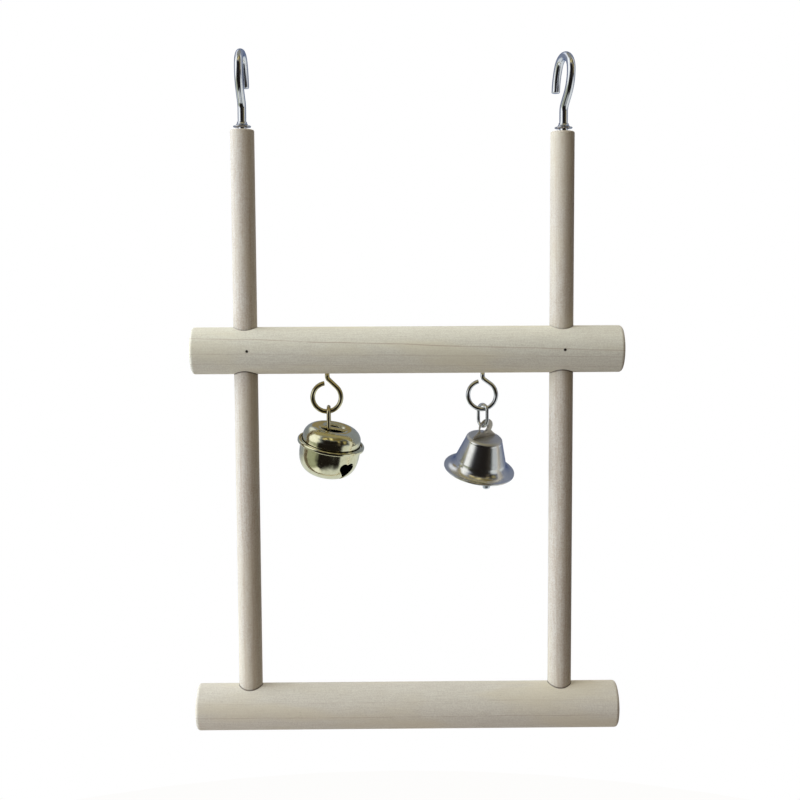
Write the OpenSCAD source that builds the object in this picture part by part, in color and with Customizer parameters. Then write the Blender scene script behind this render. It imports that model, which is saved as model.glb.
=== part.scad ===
/* [Wooden frame] */
// Diameter of both perches
perch_d = 16; // [12:0.5:20]
// Length of the upper perch
upper_perch_len = 146.6; // [136:0.2:180]
// Length of the lower perch
lower_perch_len = 146.2; // [136:0.2:180]
// Sideways shift of the upper perch from the middle of the rods
upper_perch_shift = 1.2; // [-3:0.1:3]
// Sideways shift of the lower perch from the middle of the rods
lower_perch_shift = 0.7; // [-3:0.1:3]
// Distance between the axes of the two perches
perch_spacing = 124.5; // [90:0.5:160]
// Diameter of the upright rods
rod_d = 8.1; // [7:0.05:8.6]
// Distance between the axes of the two rods
rod_spacing = 107.8; // [95:0.2:115]
// Length of the left rod
left_rod_len = 200.6; // [160:0.2:240]
// Length of the right rod
right_rod_len = 199.6; // [160:0.2:240]
// Depth of the blind holes in the lower perch
socket_depth = 10; // [6:0.5:11]
// Radial clearance between a rod and its holes
rod_clearance = 0.15; // [0.05:0.05:0.3]
// Rounding of the perch ends
perch_arris = 1.1; // [0.4:0.1:2]
// Rounding of the rod ends
rod_arris = 0.5; // [0.2:0.1:1]

/* [Brads] */
// Diameter of a brad
brad_d = 1; // [0.8:0.1:1.4]
// Length of a brad
brad_len = 12; // [10:0.5:13]
// Depth of the brad's head under the wood
brad_recess = 0.7; // [0.2:0.1:1]
// Length of the brad's point
brad_point_len = 1.2; // [0.6:0.1:2]
// Sideways offset of the left brad from its rod's axis
left_brad_shift = 1.3; // [-1.5:0.1:1.5]
// Sideways offset of the right brad from its rod's axis
right_brad_shift = 0.2; // [-1.5:0.1:1.5]
// Radial clearance round a brad
brad_clearance = 0.02; // [0.01:0.01:0.05]

/* [Cup hooks] */
// Diameter of the hook wire
hook_wire_d = 2.85; // [2.4:0.05:3.2]
// Height of the left collar's rim over the rod end, without the hook's rise
hook_collar_gap = 0.65; // [0.6:0.05:1.8]
// How much further the left hook stands out of its rod
left_hook_rise = 0.3; // [0:0.1:2]
// Straight shank over the collar's rim
hook_shank_len = 5.9; // [4:0.1:8]
// Radius of the bend over the shank
hook_lower_bend_r = 4.5; // [3.5:0.1:6]
// Angle of the bend over the shank
hook_lower_bend_angle = 36; // [30:1:42]
// Straight slope between the lower bend and the loop
hook_slope_len = 3.6; // [2:0.1:5]
// Radius of the loop's near side
hook_side_r = 12.5; // [10:0.5:16]
// Angle of the loop's near side
hook_side_bend_angle = 40; // [34:1:46]
// Radius of the loop's top
hook_top_r = 4.9; // [4.2:0.1:6]
// Angle of the loop's top
hook_top_bend_angle = 150; // [140:1:156]
// Radius of the tip's last bend
hook_tip_r = 21; // [16:0.5:30]
// Angle of the left tip's last bend
left_hook_tip_bend_angle = 22; // [15:0.5:28]
// Angle of the right tip's last bend
right_hook_tip_bend_angle = 24; // [15:0.5:28]
// Lean of the left hook's wire to the right
left_hook_lean = 0.2; // [0:0.1:2]
// Distance of the right hook's screw from the rod's axis, to the right
right_hook_shift = 0.3; // [0:0.1:0.5]
// Turn of the left hook's plane from the frame's plane
left_hook_turn = 86.5; // [60:0.5:120]
// Turn of the right hook's plane from the frame's plane
right_hook_turn = 108; // [60:0.5:120]
// Diameter of the collar's rim
collar_d = 6; // [5:0.1:7.5]
// Height of the collar
collar_h = 1.7; // [1.2:0.05:2.5]
// How much higher the right collar sits on its shank
right_collar_slide = 0.45; // [0:0.05:1]
// Thickness of the collar's sheet
collar_wall = 0.35; // [0.25:0.05:0.5]
// Length of the screw that is in the rod
hook_screw_len = 13; // [9:0.5:16]
// Diameter of the screw's core
hook_core_d = 2.1; // [1.8:0.05:2.4]
// Distance between two thread ridges
hook_pitch = 1.3; // [1:0.1:1.6]
// Radial running clearance of the hook in its hole
hook_clearance = 0.06; // [0.02:0.01:0.1]

/* [Screw eyes] */
// Distance of the brass eye's shank from the middle of the frame
brass_eye_offset = 26.2; // [20:0.2:34]
// Distance of the nickel eye's shank from the middle of the frame
nickel_eye_offset = 27; // [20:0.2:34]
// Diameter of the brass eye's wire
brass_eye_wire_d = 1.6; // [1.3:0.05:1.8]
// Mean radius of the brass eye's ring
brass_eye_r = 4.85; // [4.4:0.05:6]
// Diameter of the nickel eye's wire
nickel_eye_wire_d = 1.5; // [1.3:0.05:1.8]
// Mean radius of the nickel eye's ring
nickel_eye_r = 4.8; // [4.4:0.05:6]
// Where the shank runs into the brass ring, from the ring's level
brass_eye_entry_angle = 46; // [36:1:50]
// Where the shank runs into the nickel ring, from the ring's level
nickel_eye_entry_angle = 54; // [44:1:57]
// Distance of a ring's middle from the line of its shank
eye_ring_shift = 0.2; // [0:0.05:0.6]
// Straight shank between the wood and the brass eye's bend
brass_eye_neck_len = 0.9; // [0.1:0.1:2]
// Straight shank between the wood and the nickel eye's bend
nickel_eye_neck_len = 1.1; // [0.1:0.1:2]
// Radius of the bend between shank and ring
eye_bend_r = 1.6; // [1.3:0.1:2.2]
// Where the brass ring's open end stands, from the ring's level
brass_eye_end_angle = 99; // [98:1:120]
// Where the nickel ring's open end stands, from the ring's level
nickel_eye_end_angle = 104; // [102:1:125]
// Length of the eye's screw in the perch
eye_screw_len = 8; // [5:0.5:10]
// Distance between two thread ridges of an eye
eye_pitch = 0.9; // [0.7:0.1:1.2]
// Height of the thread ridges of an eye
eye_ridge_h = 0.3; // [0.15:0.05:0.4]
// Radial clearance of the eye in its hole
eye_clearance = 0.03; // [0.01:0.01:0.08]

/* [Links] */
// Diameter of the jingle bell link's wire
jingle_link_wire_d = 1.25; // [1:0.05:1.4]
// Outer height of the jingle bell link
jingle_link_h = 10.2; // [9.4:0.1:13]
// Outer width of the jingle bell link
jingle_link_w = 5.6; // [5.4:0.1:6.4]
// Diameter of the hand bell link's wire
bell_link_wire_d = 1.1; // [0.9:0.05:1.3]
// Outer height of the hand bell link
bell_link_h = 8.6; // [7.6:0.1:11]
// Outer width of the hand bell link
bell_link_w = 5.4; // [5:0.1:6.2]
// How far right of its ring's lowest point the jingle bell's link hangs
jingle_link_slide = 0.6; // [0:0.05:0.8]
// How far right of its ring's lowest point the hand bell's link hangs
bell_link_slide = 0.25; // [0:0.05:0.8]
// Gap between a link and what it hangs on
link_gap = 0.15; // [0.1:0.05:0.3]
// Gap between the hand bell's turned link and the eye or the tab
turned_link_gap = 0.3; // [0.2:0.05:0.35]

/* [Jingle bell] */
// Thickness of both shells
jingle_wall = 0.5; // [0.4:0.05:0.7]
// Radius of the flange
jingle_flange_r = 11.6; // [11.2:0.1:13]
// Radius of the upper shell
jingle_upper_r = 10.05; // [9.6:0.05:10.4]
// Height of the upper shell over the flange
jingle_upper_h = 6.1; // [5.8:0.1:7]
// Radius of the upper shell's shoulder
jingle_shoulder_r = 4; // [3.6:0.1:4.6]
// Radius of the lower shell
jingle_lower_r = 10.5; // [10:0.1:10.8]
// Depth of the lower shell under the flange
jingle_lower_h = 11.4; // [10.5:0.1:13]
// Thickness of each shell's flange
jingle_flange_t = 0.4; // [0.3:0.05:0.5]
// Width of the lower flange's rolled edge
jingle_roll_w = 0.45; // [0.35:0.05:0.6]
// Diameter of the opening in the crown
jingle_crown_d = 7.9; // [7.4:0.1:8.4]
// Width of the strap across the crown's opening
jingle_strap_w = 2.4; // [1.8:0.1:2.5]
// How far the strap lies under the crown
jingle_strap_drop = 0.25; // [0.2:0.05:0.4]
// Distance of the link from the bell's axis
jingle_link_offset = 1.65; // [0.8:0.05:2]
// Width of the slot under the bell
jingle_slot_w = 1.2; // [0.8:0.1:1.6]
// Width of a heart-shaped opening
jingle_heart_w = 5.8; // [5:0.1:6]
// Height of a heart-shaped opening
jingle_heart_h = 5.8; // [5:0.1:6.2]
// Depth of a heart's lobes under the flange
jingle_heart_drop = 3.5; // [3.2:0.1:4.2]
// Turn of the slot from the front
jingle_slot_turn = 44; // [0:1:60]
// Diameter of the pellet
pellet_d = 4.6; // [3.6:0.1:5]
// Radius of the pellet's path
pellet_path_r = 5.4; // [4.5:0.1:6]
// Gap under the pellet
pellet_gap = 0.2; // [0.1:0.05:0.4]
// Lean of the jingle bell towards the front
jingle_lean = 12; // [0:1:14]
// Lean of the jingle bell to the right
jingle_tilt = 10.5; // [0:0.5:12]

/* [Hand bell] */
// Thickness of the bell's sheet
bell_wall = 0.55; // [0.4:0.05:0.7]
// Radius of the bell's mouth
bell_mouth_r = 12.4; // [11:0.1:13.5]
// Height of the bell
bell_h = 12.7; // [11.5:0.1:14.5]
// Radius of the crown
bell_crown_r = 6.4; // [6:0.1:6.8]
// Radius of the crown's rounded edge
bell_shoulder_r = 1.2; // [0.8:0.1:1.6]
// Radius of the waist
bell_waist_r = 8.8; // [8.2:0.1:9.2]
// Height of the waist over the mouth
bell_waist_h = 4.1; // [3.4:0.1:4.6]
// Lean of the hand bell towards the front
bell_lean = 19; // [0:1:22]
// Lean of the hand bell to the right
bell_tilt = 8; // [0:1:10]
// Thickness of the hanger tab
tab_t = 0.75; // [0.5:0.05:0.9]
// Width of the tab at the crown
tab_w = 9.6; // [9:0.1:9.8]
// Width of the tab's round top
tab_top_w = 5.8; // [5.6:0.1:6.4]
// Height of the tab over the crown
tab_h = 6.9; // [6.7:0.1:7.4]
// Diameter of the tab's hole
tab_hole_d = 3.5; // [3.3:0.1:3.6]
// Height of the hole's middle over the crown
tab_hole_h = 3.75; // [3.4:0.05:4.2]
// Distance of the hole's middle from the bell's axis
tab_hole_shift = 1.3; // [0:0.1:1.4]
// Distance of the tab's middle from the bell's axis
tab_shift = 0.4; // [0:0.1:0.5]
// Turn of the tab from the frame's plane
tab_turn = 39; // [20:1:50]
// Where the link hangs, from the middle of the tab's hole
tab_link_offset = 0.55; // [0:0.05:0.7]
// Width of the tab's tongue under the crown
tongue_w = 3.2; // [2.8:0.1:4]
// Length of the tab's tongue under the crown
tongue_h = 2.9; // [2.6:0.1:3.4]
// Diameter of the hole in the tongue
tongue_hole_d = 1.5; // [1.3:0.05:1.7]
// Diameter of the clapper's wire
clapper_wire_d = 0.8; // [0.6:0.05:1]
// Mean radius of the clapper wire's eye
clapper_eye_r = 1.15; // [1.1:0.05:1.4]
// Height of the clapper's bob
bob_h = 3.6; // [3:0.1:4.2]
// Diameter of the clapper's bob
bob_d = 2.6; // [2.2:0.1:3.2]
// Rounding of the bob's end
bob_corner_r = 0.7; // [0.4:0.1:0.9]
// Length of the clapper from the middle of its eye to the end of the bob
clapper_len = 15.6; // [11:0.2:17]
// Radius of the bend under the clapper's eye
clapper_bend_r = 0.6; // [0.5:0.05:0.8]
// Where the clapper's stem runs into its eye
clapper_entry_angle = 58; // [54:1:64]
// Where the clapper eye's open end stands
clapper_end_angle = 118; // [112:1:130]
// How far the clapper's eye has slid round in the tongue's hole
clapper_slide = 20; // [0:1:24]
// Gap between the clapper's eye and the tongue
clapper_gap = 0.12; // [0.1:0.02:0.2]

/* [Hidden] */

// One overrun for every cut
over = 0.5;
// Fit between pieces that are pressed or crimped together
tight = 0.02;
// Step between a drawn wire and the screw that it grows from
shank_step = 0.03;
// Roundness of turned wood, turned metal and drawn wire
wood_facets = 72;
metal_facets = 64;
wire_sides = 16;
// Longest angle between two rings of a bent wire
ring_step = 9;
// Rings on a straight stretch of wire, at least
straight_rings = 1;

// Runs of the hook wire: a radius and a turn, or zero and a length
loop_runs = [
    [0, hook_shank_len],
    [hook_lower_bend_r, -hook_lower_bend_angle],
    [0, hook_slope_len],
    [hook_side_r, hook_side_bend_angle],
    [hook_top_r, hook_top_bend_angle]
];
function hook_runs(tip_bend) = concat(loop_runs, [[hook_tip_r, tip_bend]]);

// Points of a bent wire that starts upwards in the XZ plane: place, height and heading
function after_straight(p, length) =
    [p[0] + length * sin(p[2]), p[1] + length * cos(p[2]), p[2]];
function after_bend(p, radius, turn) =
    let (side = sign(turn), a = p[2] + turn)
    [p[0] + side * radius * (cos(p[2]) - cos(a)), p[1] + side * radius * (sin(a) - sin(p[2])), a];
function after_run(p, run) =
    run[0] == 0 ? after_straight(p, run[1]) : after_bend(p, run[0], run[1]);
function run_steps(run) = run[0] == 0 ? straight_rings : ceil(abs(run[1]) / ring_step);
function run_points(p, run) =
    let (steps = run_steps(run))
    [for (k = [1:steps]) after_run(p, [run[0], run[1] * k / steps])];
function wire_points(runs, p, i = 0) =
    i == len(runs)
        ? []
        : concat(run_points(p, runs[i]), wire_points(runs, after_run(p, runs[i]), i + 1));
function open_wire(runs) = concat([[0, 0, 0]], wire_points(runs, [0, 0, 0]));

// One ring of points round a point of the wire
function ring_points(p, radius) = [
    for (k = [0:wire_sides - 1])
        let (a = 360 * k / wire_sides)
        [p[0] + radius * cos(a) * cos(p[2]), radius * sin(a), p[1] - radius * cos(a) * sin(p[2])]
];
function sweep_points(path, radius) = [for (p = path) each ring_points(p, radius)];
function sweep_sides(gaps, rings) = [
    for (i = [0:gaps - 1], k = [0:wire_sides - 1], half = [0, 1])
        let (a = i * wire_sides + k, b = i * wire_sides + (k + 1) % wire_sides)
        let (c = a + wire_sides, d = b + wire_sides, all = rings * wire_sides)
        half == 0 ? [a, c % all, d % all] : [a, d % all, b]
];

// The hook's seat: the lowest point of the wire inside the loop's top
hook_path = open_wire(loop_runs);
hook_top_z = max([for (p = hook_path) p[1]]);
hook_seat_z = hook_top_z - hook_wire_d / 2;

// Heights over the upper perch's axis
lower_perch_z = -perch_spacing;
rod_bottom_z = lower_perch_z + perch_d / 2 - socket_depth;
left_rod_top_z = rod_bottom_z + left_rod_len;
right_rod_top_z = rod_bottom_z + right_rod_len;
left_hook_z = left_rod_top_z + hook_collar_gap + left_hook_rise;
right_hook_z = right_rod_top_z + hook_collar_gap;
// The part's origin is midway between the seats of the two hooks
lift = -((left_hook_z + right_hook_z) / 2 + hook_seat_z);
rod_x = rod_spacing / 2;

// Ring of a screw eye: entry from the shank, and the middle of the ring under the wood
function eye_slope(ring_r, entry, bend_r, shift) =
    (ring_r * cos(entry) - shift - bend_r * (1 - cos(entry))) / sin(entry);
function eye_drop(ring_r, entry, bend_r, shift) =
    bend_r * sin(entry) + eye_slope(ring_r, entry, bend_r, shift) * cos(entry) + ring_r * sin(entry);
function eye_runs(stem, ring_r, entry, end_angle, bend_r, shift) = [
    [0, stem],
    [bend_r, entry],
    [0, eye_slope(ring_r, entry, bend_r, shift)],
    [ring_r, -(entry + 360 - end_angle)]
];
eye_sunk = eye_pitch;
wood_bottom_z = -perch_d / 2;
brass_eye_drop = eye_drop(brass_eye_r, brass_eye_entry_angle, eye_bend_r, eye_ring_shift);
nickel_eye_drop = eye_drop(nickel_eye_r, nickel_eye_entry_angle, eye_bend_r, eye_ring_shift);
brass_ring_z = wood_bottom_z - brass_eye_neck_len - brass_eye_drop;
nickel_ring_z = wood_bottom_z - nickel_eye_neck_len - nickel_eye_drop;
brass_ring_x = -brass_eye_offset - eye_ring_shift;
nickel_ring_x = nickel_eye_offset - eye_ring_shift;

// Links: the arcs' middles under the top of the link, and the middle of its lowest wire
function link_arc_r(link_w, wire_d) = (link_w - wire_d) / 2;
function link_rise(eye_wire_d, wire_d, gap) = (eye_wire_d + wire_d) / 2 + gap;
jingle_link_x = brass_ring_x + jingle_link_slide;
jingle_link_rise = link_rise(brass_eye_wire_d, jingle_link_wire_d, link_gap);
jingle_link_top_z = brass_ring_z - brass_eye_r + jingle_link_rise;
jingle_link_bottom_z = jingle_link_top_z - jingle_link_h + jingle_link_wire_d;
jingle_link_arc = link_arc_r(jingle_link_w, jingle_link_wire_d);
jingle_arc_z = jingle_link_bottom_z + jingle_link_arc;
bell_link_x = nickel_ring_x + bell_link_slide;
bell_link_rise = link_rise(nickel_eye_wire_d, bell_link_wire_d, turned_link_gap);
bell_link_top_z = nickel_ring_z - nickel_eye_r + bell_link_rise;
bell_link_bottom_z = bell_link_top_z - bell_link_h + bell_link_wire_d;
bell_link_turn = tab_turn + 90;

// Jingle bell, in its own frame: the flange's plane is at zero and the bell hangs under it
strap_top = jingle_upper_h - jingle_strap_drop;
strap_bottom = strap_top - jingle_wall;
strap_half = jingle_strap_w / 2;
strap_reach = jingle_link_arc - jingle_link_wire_d / 2 - link_gap;
strap_to_arc = sqrt(strap_reach * strap_reach - strap_half * strap_half);
jingle_arc_h = strap_bottom + strap_to_arc;
jingle_shoulder_x = jingle_upper_r - jingle_shoulder_r;
jingle_shoulder_z = jingle_upper_h - jingle_shoulder_r;
// The crown dips inside its crest, down to the rim of its opening
crown_dip_angle = 90 + asin((jingle_shoulder_x - jingle_crown_d / 2) / jingle_shoulder_r);
strap_end_x = jingle_shoulder_x - 2 * jingle_wall;
shoulder_steps = 10;
crown_steps = 14;
bowl_steps = 16;
// Fullness of the lower shell: 2 is an ellipse
bowl_power = 3.2;
function bowl_point(r, h, t) = [r * pow(cos(t), 2 / bowl_power), -h * pow(sin(t), 2 / bowl_power)];
function arc_points(cx, cz, r, from, to, steps) =
    [for (i = [0:steps]) let (a = from + (to - from) * i / steps) [cx + r * cos(a), cz + r * sin(a)]];
lobe_share = 0.29;
heart_lobe_r = jingle_heart_w * lobe_share;
pellet_rest_z = -jingle_lower_h + jingle_wall + pellet_gap + pellet_d / 2;
pellet_pivot_z = pellet_rest_z + pellet_path_r;

// Hand bell, in its own frame: the mouth's plane is at zero
bell_lip_h = 0.5;
flare_steps = 10;
tab_reach = tab_hole_d / 2 - bell_link_wire_d / 2 - turned_link_gap;
tab_link_rise = sqrt(tab_reach * tab_reach - tab_link_offset * tab_link_offset);
tab_pivot_h = bell_h + tab_hole_h + tab_link_rise;
tongue_hole_share = 0.8;
tongue_hole_depth = tongue_hole_d * tongue_hole_share;
tongue_hole_z = bell_h - bell_wall - tongue_hole_depth;
clapper_pivot_z = tongue_hole_z - tongue_hole_d / 2 + clapper_gap + clapper_wire_d / 2;
clapper_eye_z = clapper_pivot_z - clapper_eye_r;
clapper_eye_drop = eye_drop(clapper_eye_r, clapper_entry_angle, clapper_bend_r, 0);
bob_socket = bob_h / 3;
clapper_stem = clapper_len - bob_h + bob_socket - clapper_eye_drop;

// A bar along Z from zero, with rounded ends
module round_bar(d, length, arris) {
    arris_steps = 4;
    rotate_extrude($fn = wood_facets)
        polygon(concat(
            [[0, 0]],
            arc_points(d / 2 - arris, arris, arris, -90, 0, arris_steps),
            arc_points(d / 2 - arris, length - arris, arris, 0, 90, arris_steps),
            [[0, length]]
        ));
}

// One thread ridge under a height: foot, two corners of its crest, and foot again
function ridge_points(z, core, crest, rise, pitch, grow) = [
    [core, z - tight - grow],
    [crest, z - rise],
    [crest, z - pitch + rise],
    [core, z - pitch]
];

// Screw under zero: a plain neck, thread ridges and a point, all grown by a clearance
module screw_body(neck_d, neck_len, core_d, ridge_d, pitch, length, grow) {
    ridges = floor((length - neck_len - core_d) / pitch);
    crest_share = 0.2;
    rise = pitch * (1 - crest_share) / 2;
    core = core_d / 2 + grow;
    crest = ridge_d / 2 + grow;
    rotate_extrude($fn = metal_facets)
        polygon(concat(
            [[0, 0], [neck_d / 2 + grow, 0]],
            [[neck_d / 2 + grow, -neck_len - grow], [core, -neck_len - grow]],
            [for (i = [0:ridges - 1])
                each ridge_points(-neck_len - i * pitch, core, crest, rise, pitch, grow)],
            [[core, -length + core_d], [0, -length - grow]]
        ));
}

// A bent wire that starts upwards from zero
module bent_wire(runs, wire_d) {
    path = open_wire(runs);
    last = (len(path) - 1) * wire_sides;
    polyhedron(
        points = sweep_points(path, wire_d / 2),
        faces = concat(
            [[for (k = [0:wire_sides - 1]) k]],
            sweep_sides(len(path) - 1, len(path)),
            [[for (k = [wire_sides - 1:-1:0]) last + k]]
        )
    );
}

// A closed oval link in the XZ plane, hanging down from the middle of its top wire
module oval_link(link_w, link_h, wire_d) {
    arc_r = link_arc_r(link_w, wire_d);
    side_len = link_h - wire_d - 2 * arc_r;
    runs = [[arc_r, 180], [0, side_len], [arc_r, 180], [0, side_len]];
    path = wire_points(runs, [-arc_r, -arc_r, 0]);
    polyhedron(points = sweep_points(path, wire_d / 2), faces = sweep_sides(len(path), len(path)));
}

// Places, all in the part's frame
module over_upper_axis(x, z) {
    translate([x, 0, lift + z])
        children();
}

// A brad's hole from the front, lengthened outwards by an overrun
module brad_hole(shift) {
    translate([shift, -perch_d / 2 - over, 0])
        rotate([-90, 0, 0])
            cylinder(
                h = over + brad_recess + brad_len,
                r = brad_d / 2 + brad_clearance,
                $fn = metal_facets
            );
}

// The hook's screw under zero, with its neck reaching up by a given height
module hook_screw(above, grow) {
    neck_d = hook_wire_d + 2 * shank_step;
    translate([0, 0, above])
        screw_body(
            neck_d,
            above + hook_pitch,
            hook_core_d,
            hook_wire_d,
            hook_pitch,
            above + hook_screw_len,
            grow
        );
}

module rod(length, top_z, brad_shift, screw_shift) {
    difference() {
        translate([0, 0, rod_bottom_z])
            round_bar(rod_d, length, rod_arris);
        translate([screw_shift, 0, top_z])
            hook_screw(over, hook_clearance);
        brad_hole(brad_shift);
    }
}

module left_rod() {
    color("blanchedalmond")
        over_upper_axis(-rod_x, 0)
            rod(left_rod_len, left_rod_top_z, left_brad_shift, 0);
}

module right_rod() {
    color("blanchedalmond")
        over_upper_axis(rod_x, 0)
            rod(right_rod_len, right_rod_top_z, right_brad_shift, right_hook_shift);
}

module perch_bar(length, shift) {
    translate([shift - length / 2, 0, 0])
        rotate([0, 90, 0])
            round_bar(perch_d, length, perch_arris);
}

module rod_bore(depth) {
    cylinder(h = depth, r = rod_d / 2 + rod_clearance, $fn = metal_facets);
}

// A screw eye's thread under zero, with its neck reaching up by a given height
module eye_screw(wire_d, above, grow) {
    neck_d = wire_d + 2 * shank_step;
    core_d = wire_d - 2 * eye_ridge_h;
    translate([0, 0, above])
        screw_body(
            neck_d,
            above + 2 * eye_pitch,
            core_d,
            wire_d,
            eye_pitch,
            above + eye_screw_len,
            grow
        );
}

module eye_hole(x, wire_d) {
    translate([x, 0, wood_bottom_z])
        mirror([0, 0, 1])
            eye_screw(wire_d, over, eye_clearance);
}

module upper_perch() {
    color("wheat")
        over_upper_axis(0, 0)
            difference() {
                perch_bar(upper_perch_len, upper_perch_shift);
                for (side = [-1, 1])
                    translate([side * rod_x, 0, -perch_d / 2 - over])
                        rod_bore(perch_d + 2 * over);
                translate([-rod_x, 0, 0])
                    brad_hole(left_brad_shift);
                translate([rod_x, 0, 0])
                    brad_hole(right_brad_shift);
                eye_hole(-brass_eye_offset, brass_eye_wire_d);
                eye_hole(nickel_eye_offset, nickel_eye_wire_d);
            }
}

module lower_perch() {
    color("wheat")
        over_upper_axis(0, lower_perch_z)
            difference() {
                perch_bar(lower_perch_len, lower_perch_shift);
                for (side = [-1, 1])
                    translate([side * rod_x, 0, perch_d / 2 - socket_depth])
                        rod_bore(socket_depth + over);
            }
}

module brad(shift) {
    translate([shift, -perch_d / 2 + brad_recess, 0])
        rotate([-90, 0, 0]) {
            cylinder(h = brad_len - brad_point_len, d = brad_d, $fn = metal_facets);
            translate([0, 0, brad_len - brad_point_len])
                cylinder(h = brad_point_len, d1 = brad_d, d2 = 0, $fn = metal_facets);
        }
}

module left_brad() {
    color("dimgray")
        over_upper_axis(-rod_x, 0)
            brad(left_brad_shift);
}

module right_brad() {
    color("dimgray")
        over_upper_axis(rod_x, 0)
            brad(right_brad_shift);
}

// A cup hook over its collar's rim, with its screw reaching down into the rod
module cup_hook(turn, lean, tip_bend, gap) {
    rotate([0, lean, 0])
        rotate([0, 0, turn])
            bent_wire(hook_runs(tip_bend), hook_wire_d);
    translate([0, 0, -gap])
        hook_screw(gap + over, 0);
}

// The collar's stamped skirt: it flares from the shank to a rim at zero
module collar() {
    bore = hook_wire_d / 2 + shank_step + tight;
    neck = bore + collar_wall / 2;
    rim = collar_d / 2;
    rise = collar_h - collar_wall;
    rotate_extrude($fn = metal_facets)
        polygon(concat(
            [for (i = [0:shoulder_steps])
                let (a = 90 * i / shoulder_steps)
                [rim - (rim - neck) * sin(a), collar_wall + rise * (1 - cos(a))]],
            [[bore, collar_h]],
            [for (i = [shoulder_steps:-1:0])
                let (a = 90 * i / shoulder_steps)
                [rim - collar_wall - (rim - collar_wall - bore) * sin(a), rise * (1 - cos(a))]],
            [[rim, 0]]
        ));
}

module left_hook() {
    color("silver")
        over_upper_axis(-rod_x, left_hook_z)
            cup_hook(
                left_hook_turn,
                left_hook_lean,
                left_hook_tip_bend_angle,
                hook_collar_gap + left_hook_rise
            );
}

module right_hook() {
    color("silver")
        over_upper_axis(rod_x + right_hook_shift, right_hook_z)
            cup_hook(right_hook_turn, 0, right_hook_tip_bend_angle, hook_collar_gap);
}

module left_hook_collar() {
    color("gainsboro")
        over_upper_axis(-rod_x, left_hook_z)
            collar();
}

module right_hook_collar() {
    color("gainsboro")
        over_upper_axis(rod_x + right_hook_shift, right_hook_z + right_collar_slide)
            collar();
}

// A screw eye under the upper perch, its ring in the frame's plane
module screw_eye(x, wire_d, neck_len, ring_r, entry, end_angle) {
    runs = eye_runs(eye_sunk + neck_len, ring_r, entry, end_angle, eye_bend_r, eye_ring_shift);
    over_upper_axis(x, wood_bottom_z)
        rotate([180, 0, 0]) {
            translate([0, 0, -eye_sunk])
                bent_wire(runs, wire_d);
            eye_screw(wire_d, 0, 0);
        }
}

module brass_eye() {
    color("darkgoldenrod")
        screw_eye(
            -brass_eye_offset,
            brass_eye_wire_d,
            brass_eye_neck_len,
            brass_eye_r,
            brass_eye_entry_angle,
            brass_eye_end_angle
        );
}

module nickel_eye() {
    color("slategray")
        screw_eye(
            nickel_eye_offset,
            nickel_eye_wire_d,
            nickel_eye_neck_len,
            nickel_eye_r,
            nickel_eye_entry_angle,
            nickel_eye_end_angle
        );
}

module jingle_link() {
    color("khaki")
        over_upper_axis(jingle_link_x, jingle_link_top_z)
            rotate([0, 0, 90])
                oval_link(jingle_link_w, jingle_link_h, jingle_link_wire_d);
}

module bell_link() {
    color("lightgray")
        over_upper_axis(bell_link_x, bell_link_top_z)
            rotate([0, 0, bell_link_turn])
                oval_link(bell_link_w, bell_link_h, bell_link_wire_d);
}

// The jingle bell hangs from the link's lower arc and leans about that arc's middle
module jingle_place() {
    over_upper_axis(jingle_link_x, jingle_arc_z)
        rotate([jingle_lean, jingle_tilt, 0])
            translate([jingle_link_offset, 0, -jingle_arc_h])
                children();
}

module jingle_upper_shell() {
    inner_shoulder_r = jingle_shoulder_r - jingle_wall;
    flange_edge = jingle_flange_r - jingle_roll_w - tight;
    x = jingle_shoulder_x;
    z = jingle_shoulder_z;
    color("gold")
        jingle_place() {
            rotate_extrude($fn = metal_facets)
                polygon(concat(
                    [[jingle_upper_r - jingle_wall, tight], [flange_edge, tight]],
                    [[flange_edge, jingle_flange_t], [jingle_upper_r, jingle_flange_t]],
                    arc_points(x, z, jingle_shoulder_r, 0, crown_dip_angle, crown_steps),
                    arc_points(x, z, inner_shoulder_r, crown_dip_angle, 0, crown_steps)
                ));
            translate([-strap_end_x, -strap_half, strap_bottom])
                cube([2 * strap_end_x, jingle_strap_w, jingle_wall]);
        }
}

// A heart standing on its point, its top at zero
module heart() {
    lobe_x = jingle_heart_w / 2 - heart_lobe_r;
    to_point = jingle_heart_h - heart_lobe_r;
    span = sqrt(lobe_x * lobe_x + to_point * to_point);
    notch = acos(-lobe_x / heart_lobe_r);
    touch = atan2(-to_point, -lobe_x) + acos(heart_lobe_r / span);
    lobe = arc_points(lobe_x, -heart_lobe_r, heart_lobe_r, notch, touch, shoulder_steps);
    last = len(lobe) - 1;
    polygon(concat(
        lobe,
        [[0, -jingle_heart_h]],
        [for (i = [last:-1:1]) [-lobe[i][0], lobe[i][1]]]
    ));
}

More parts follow.
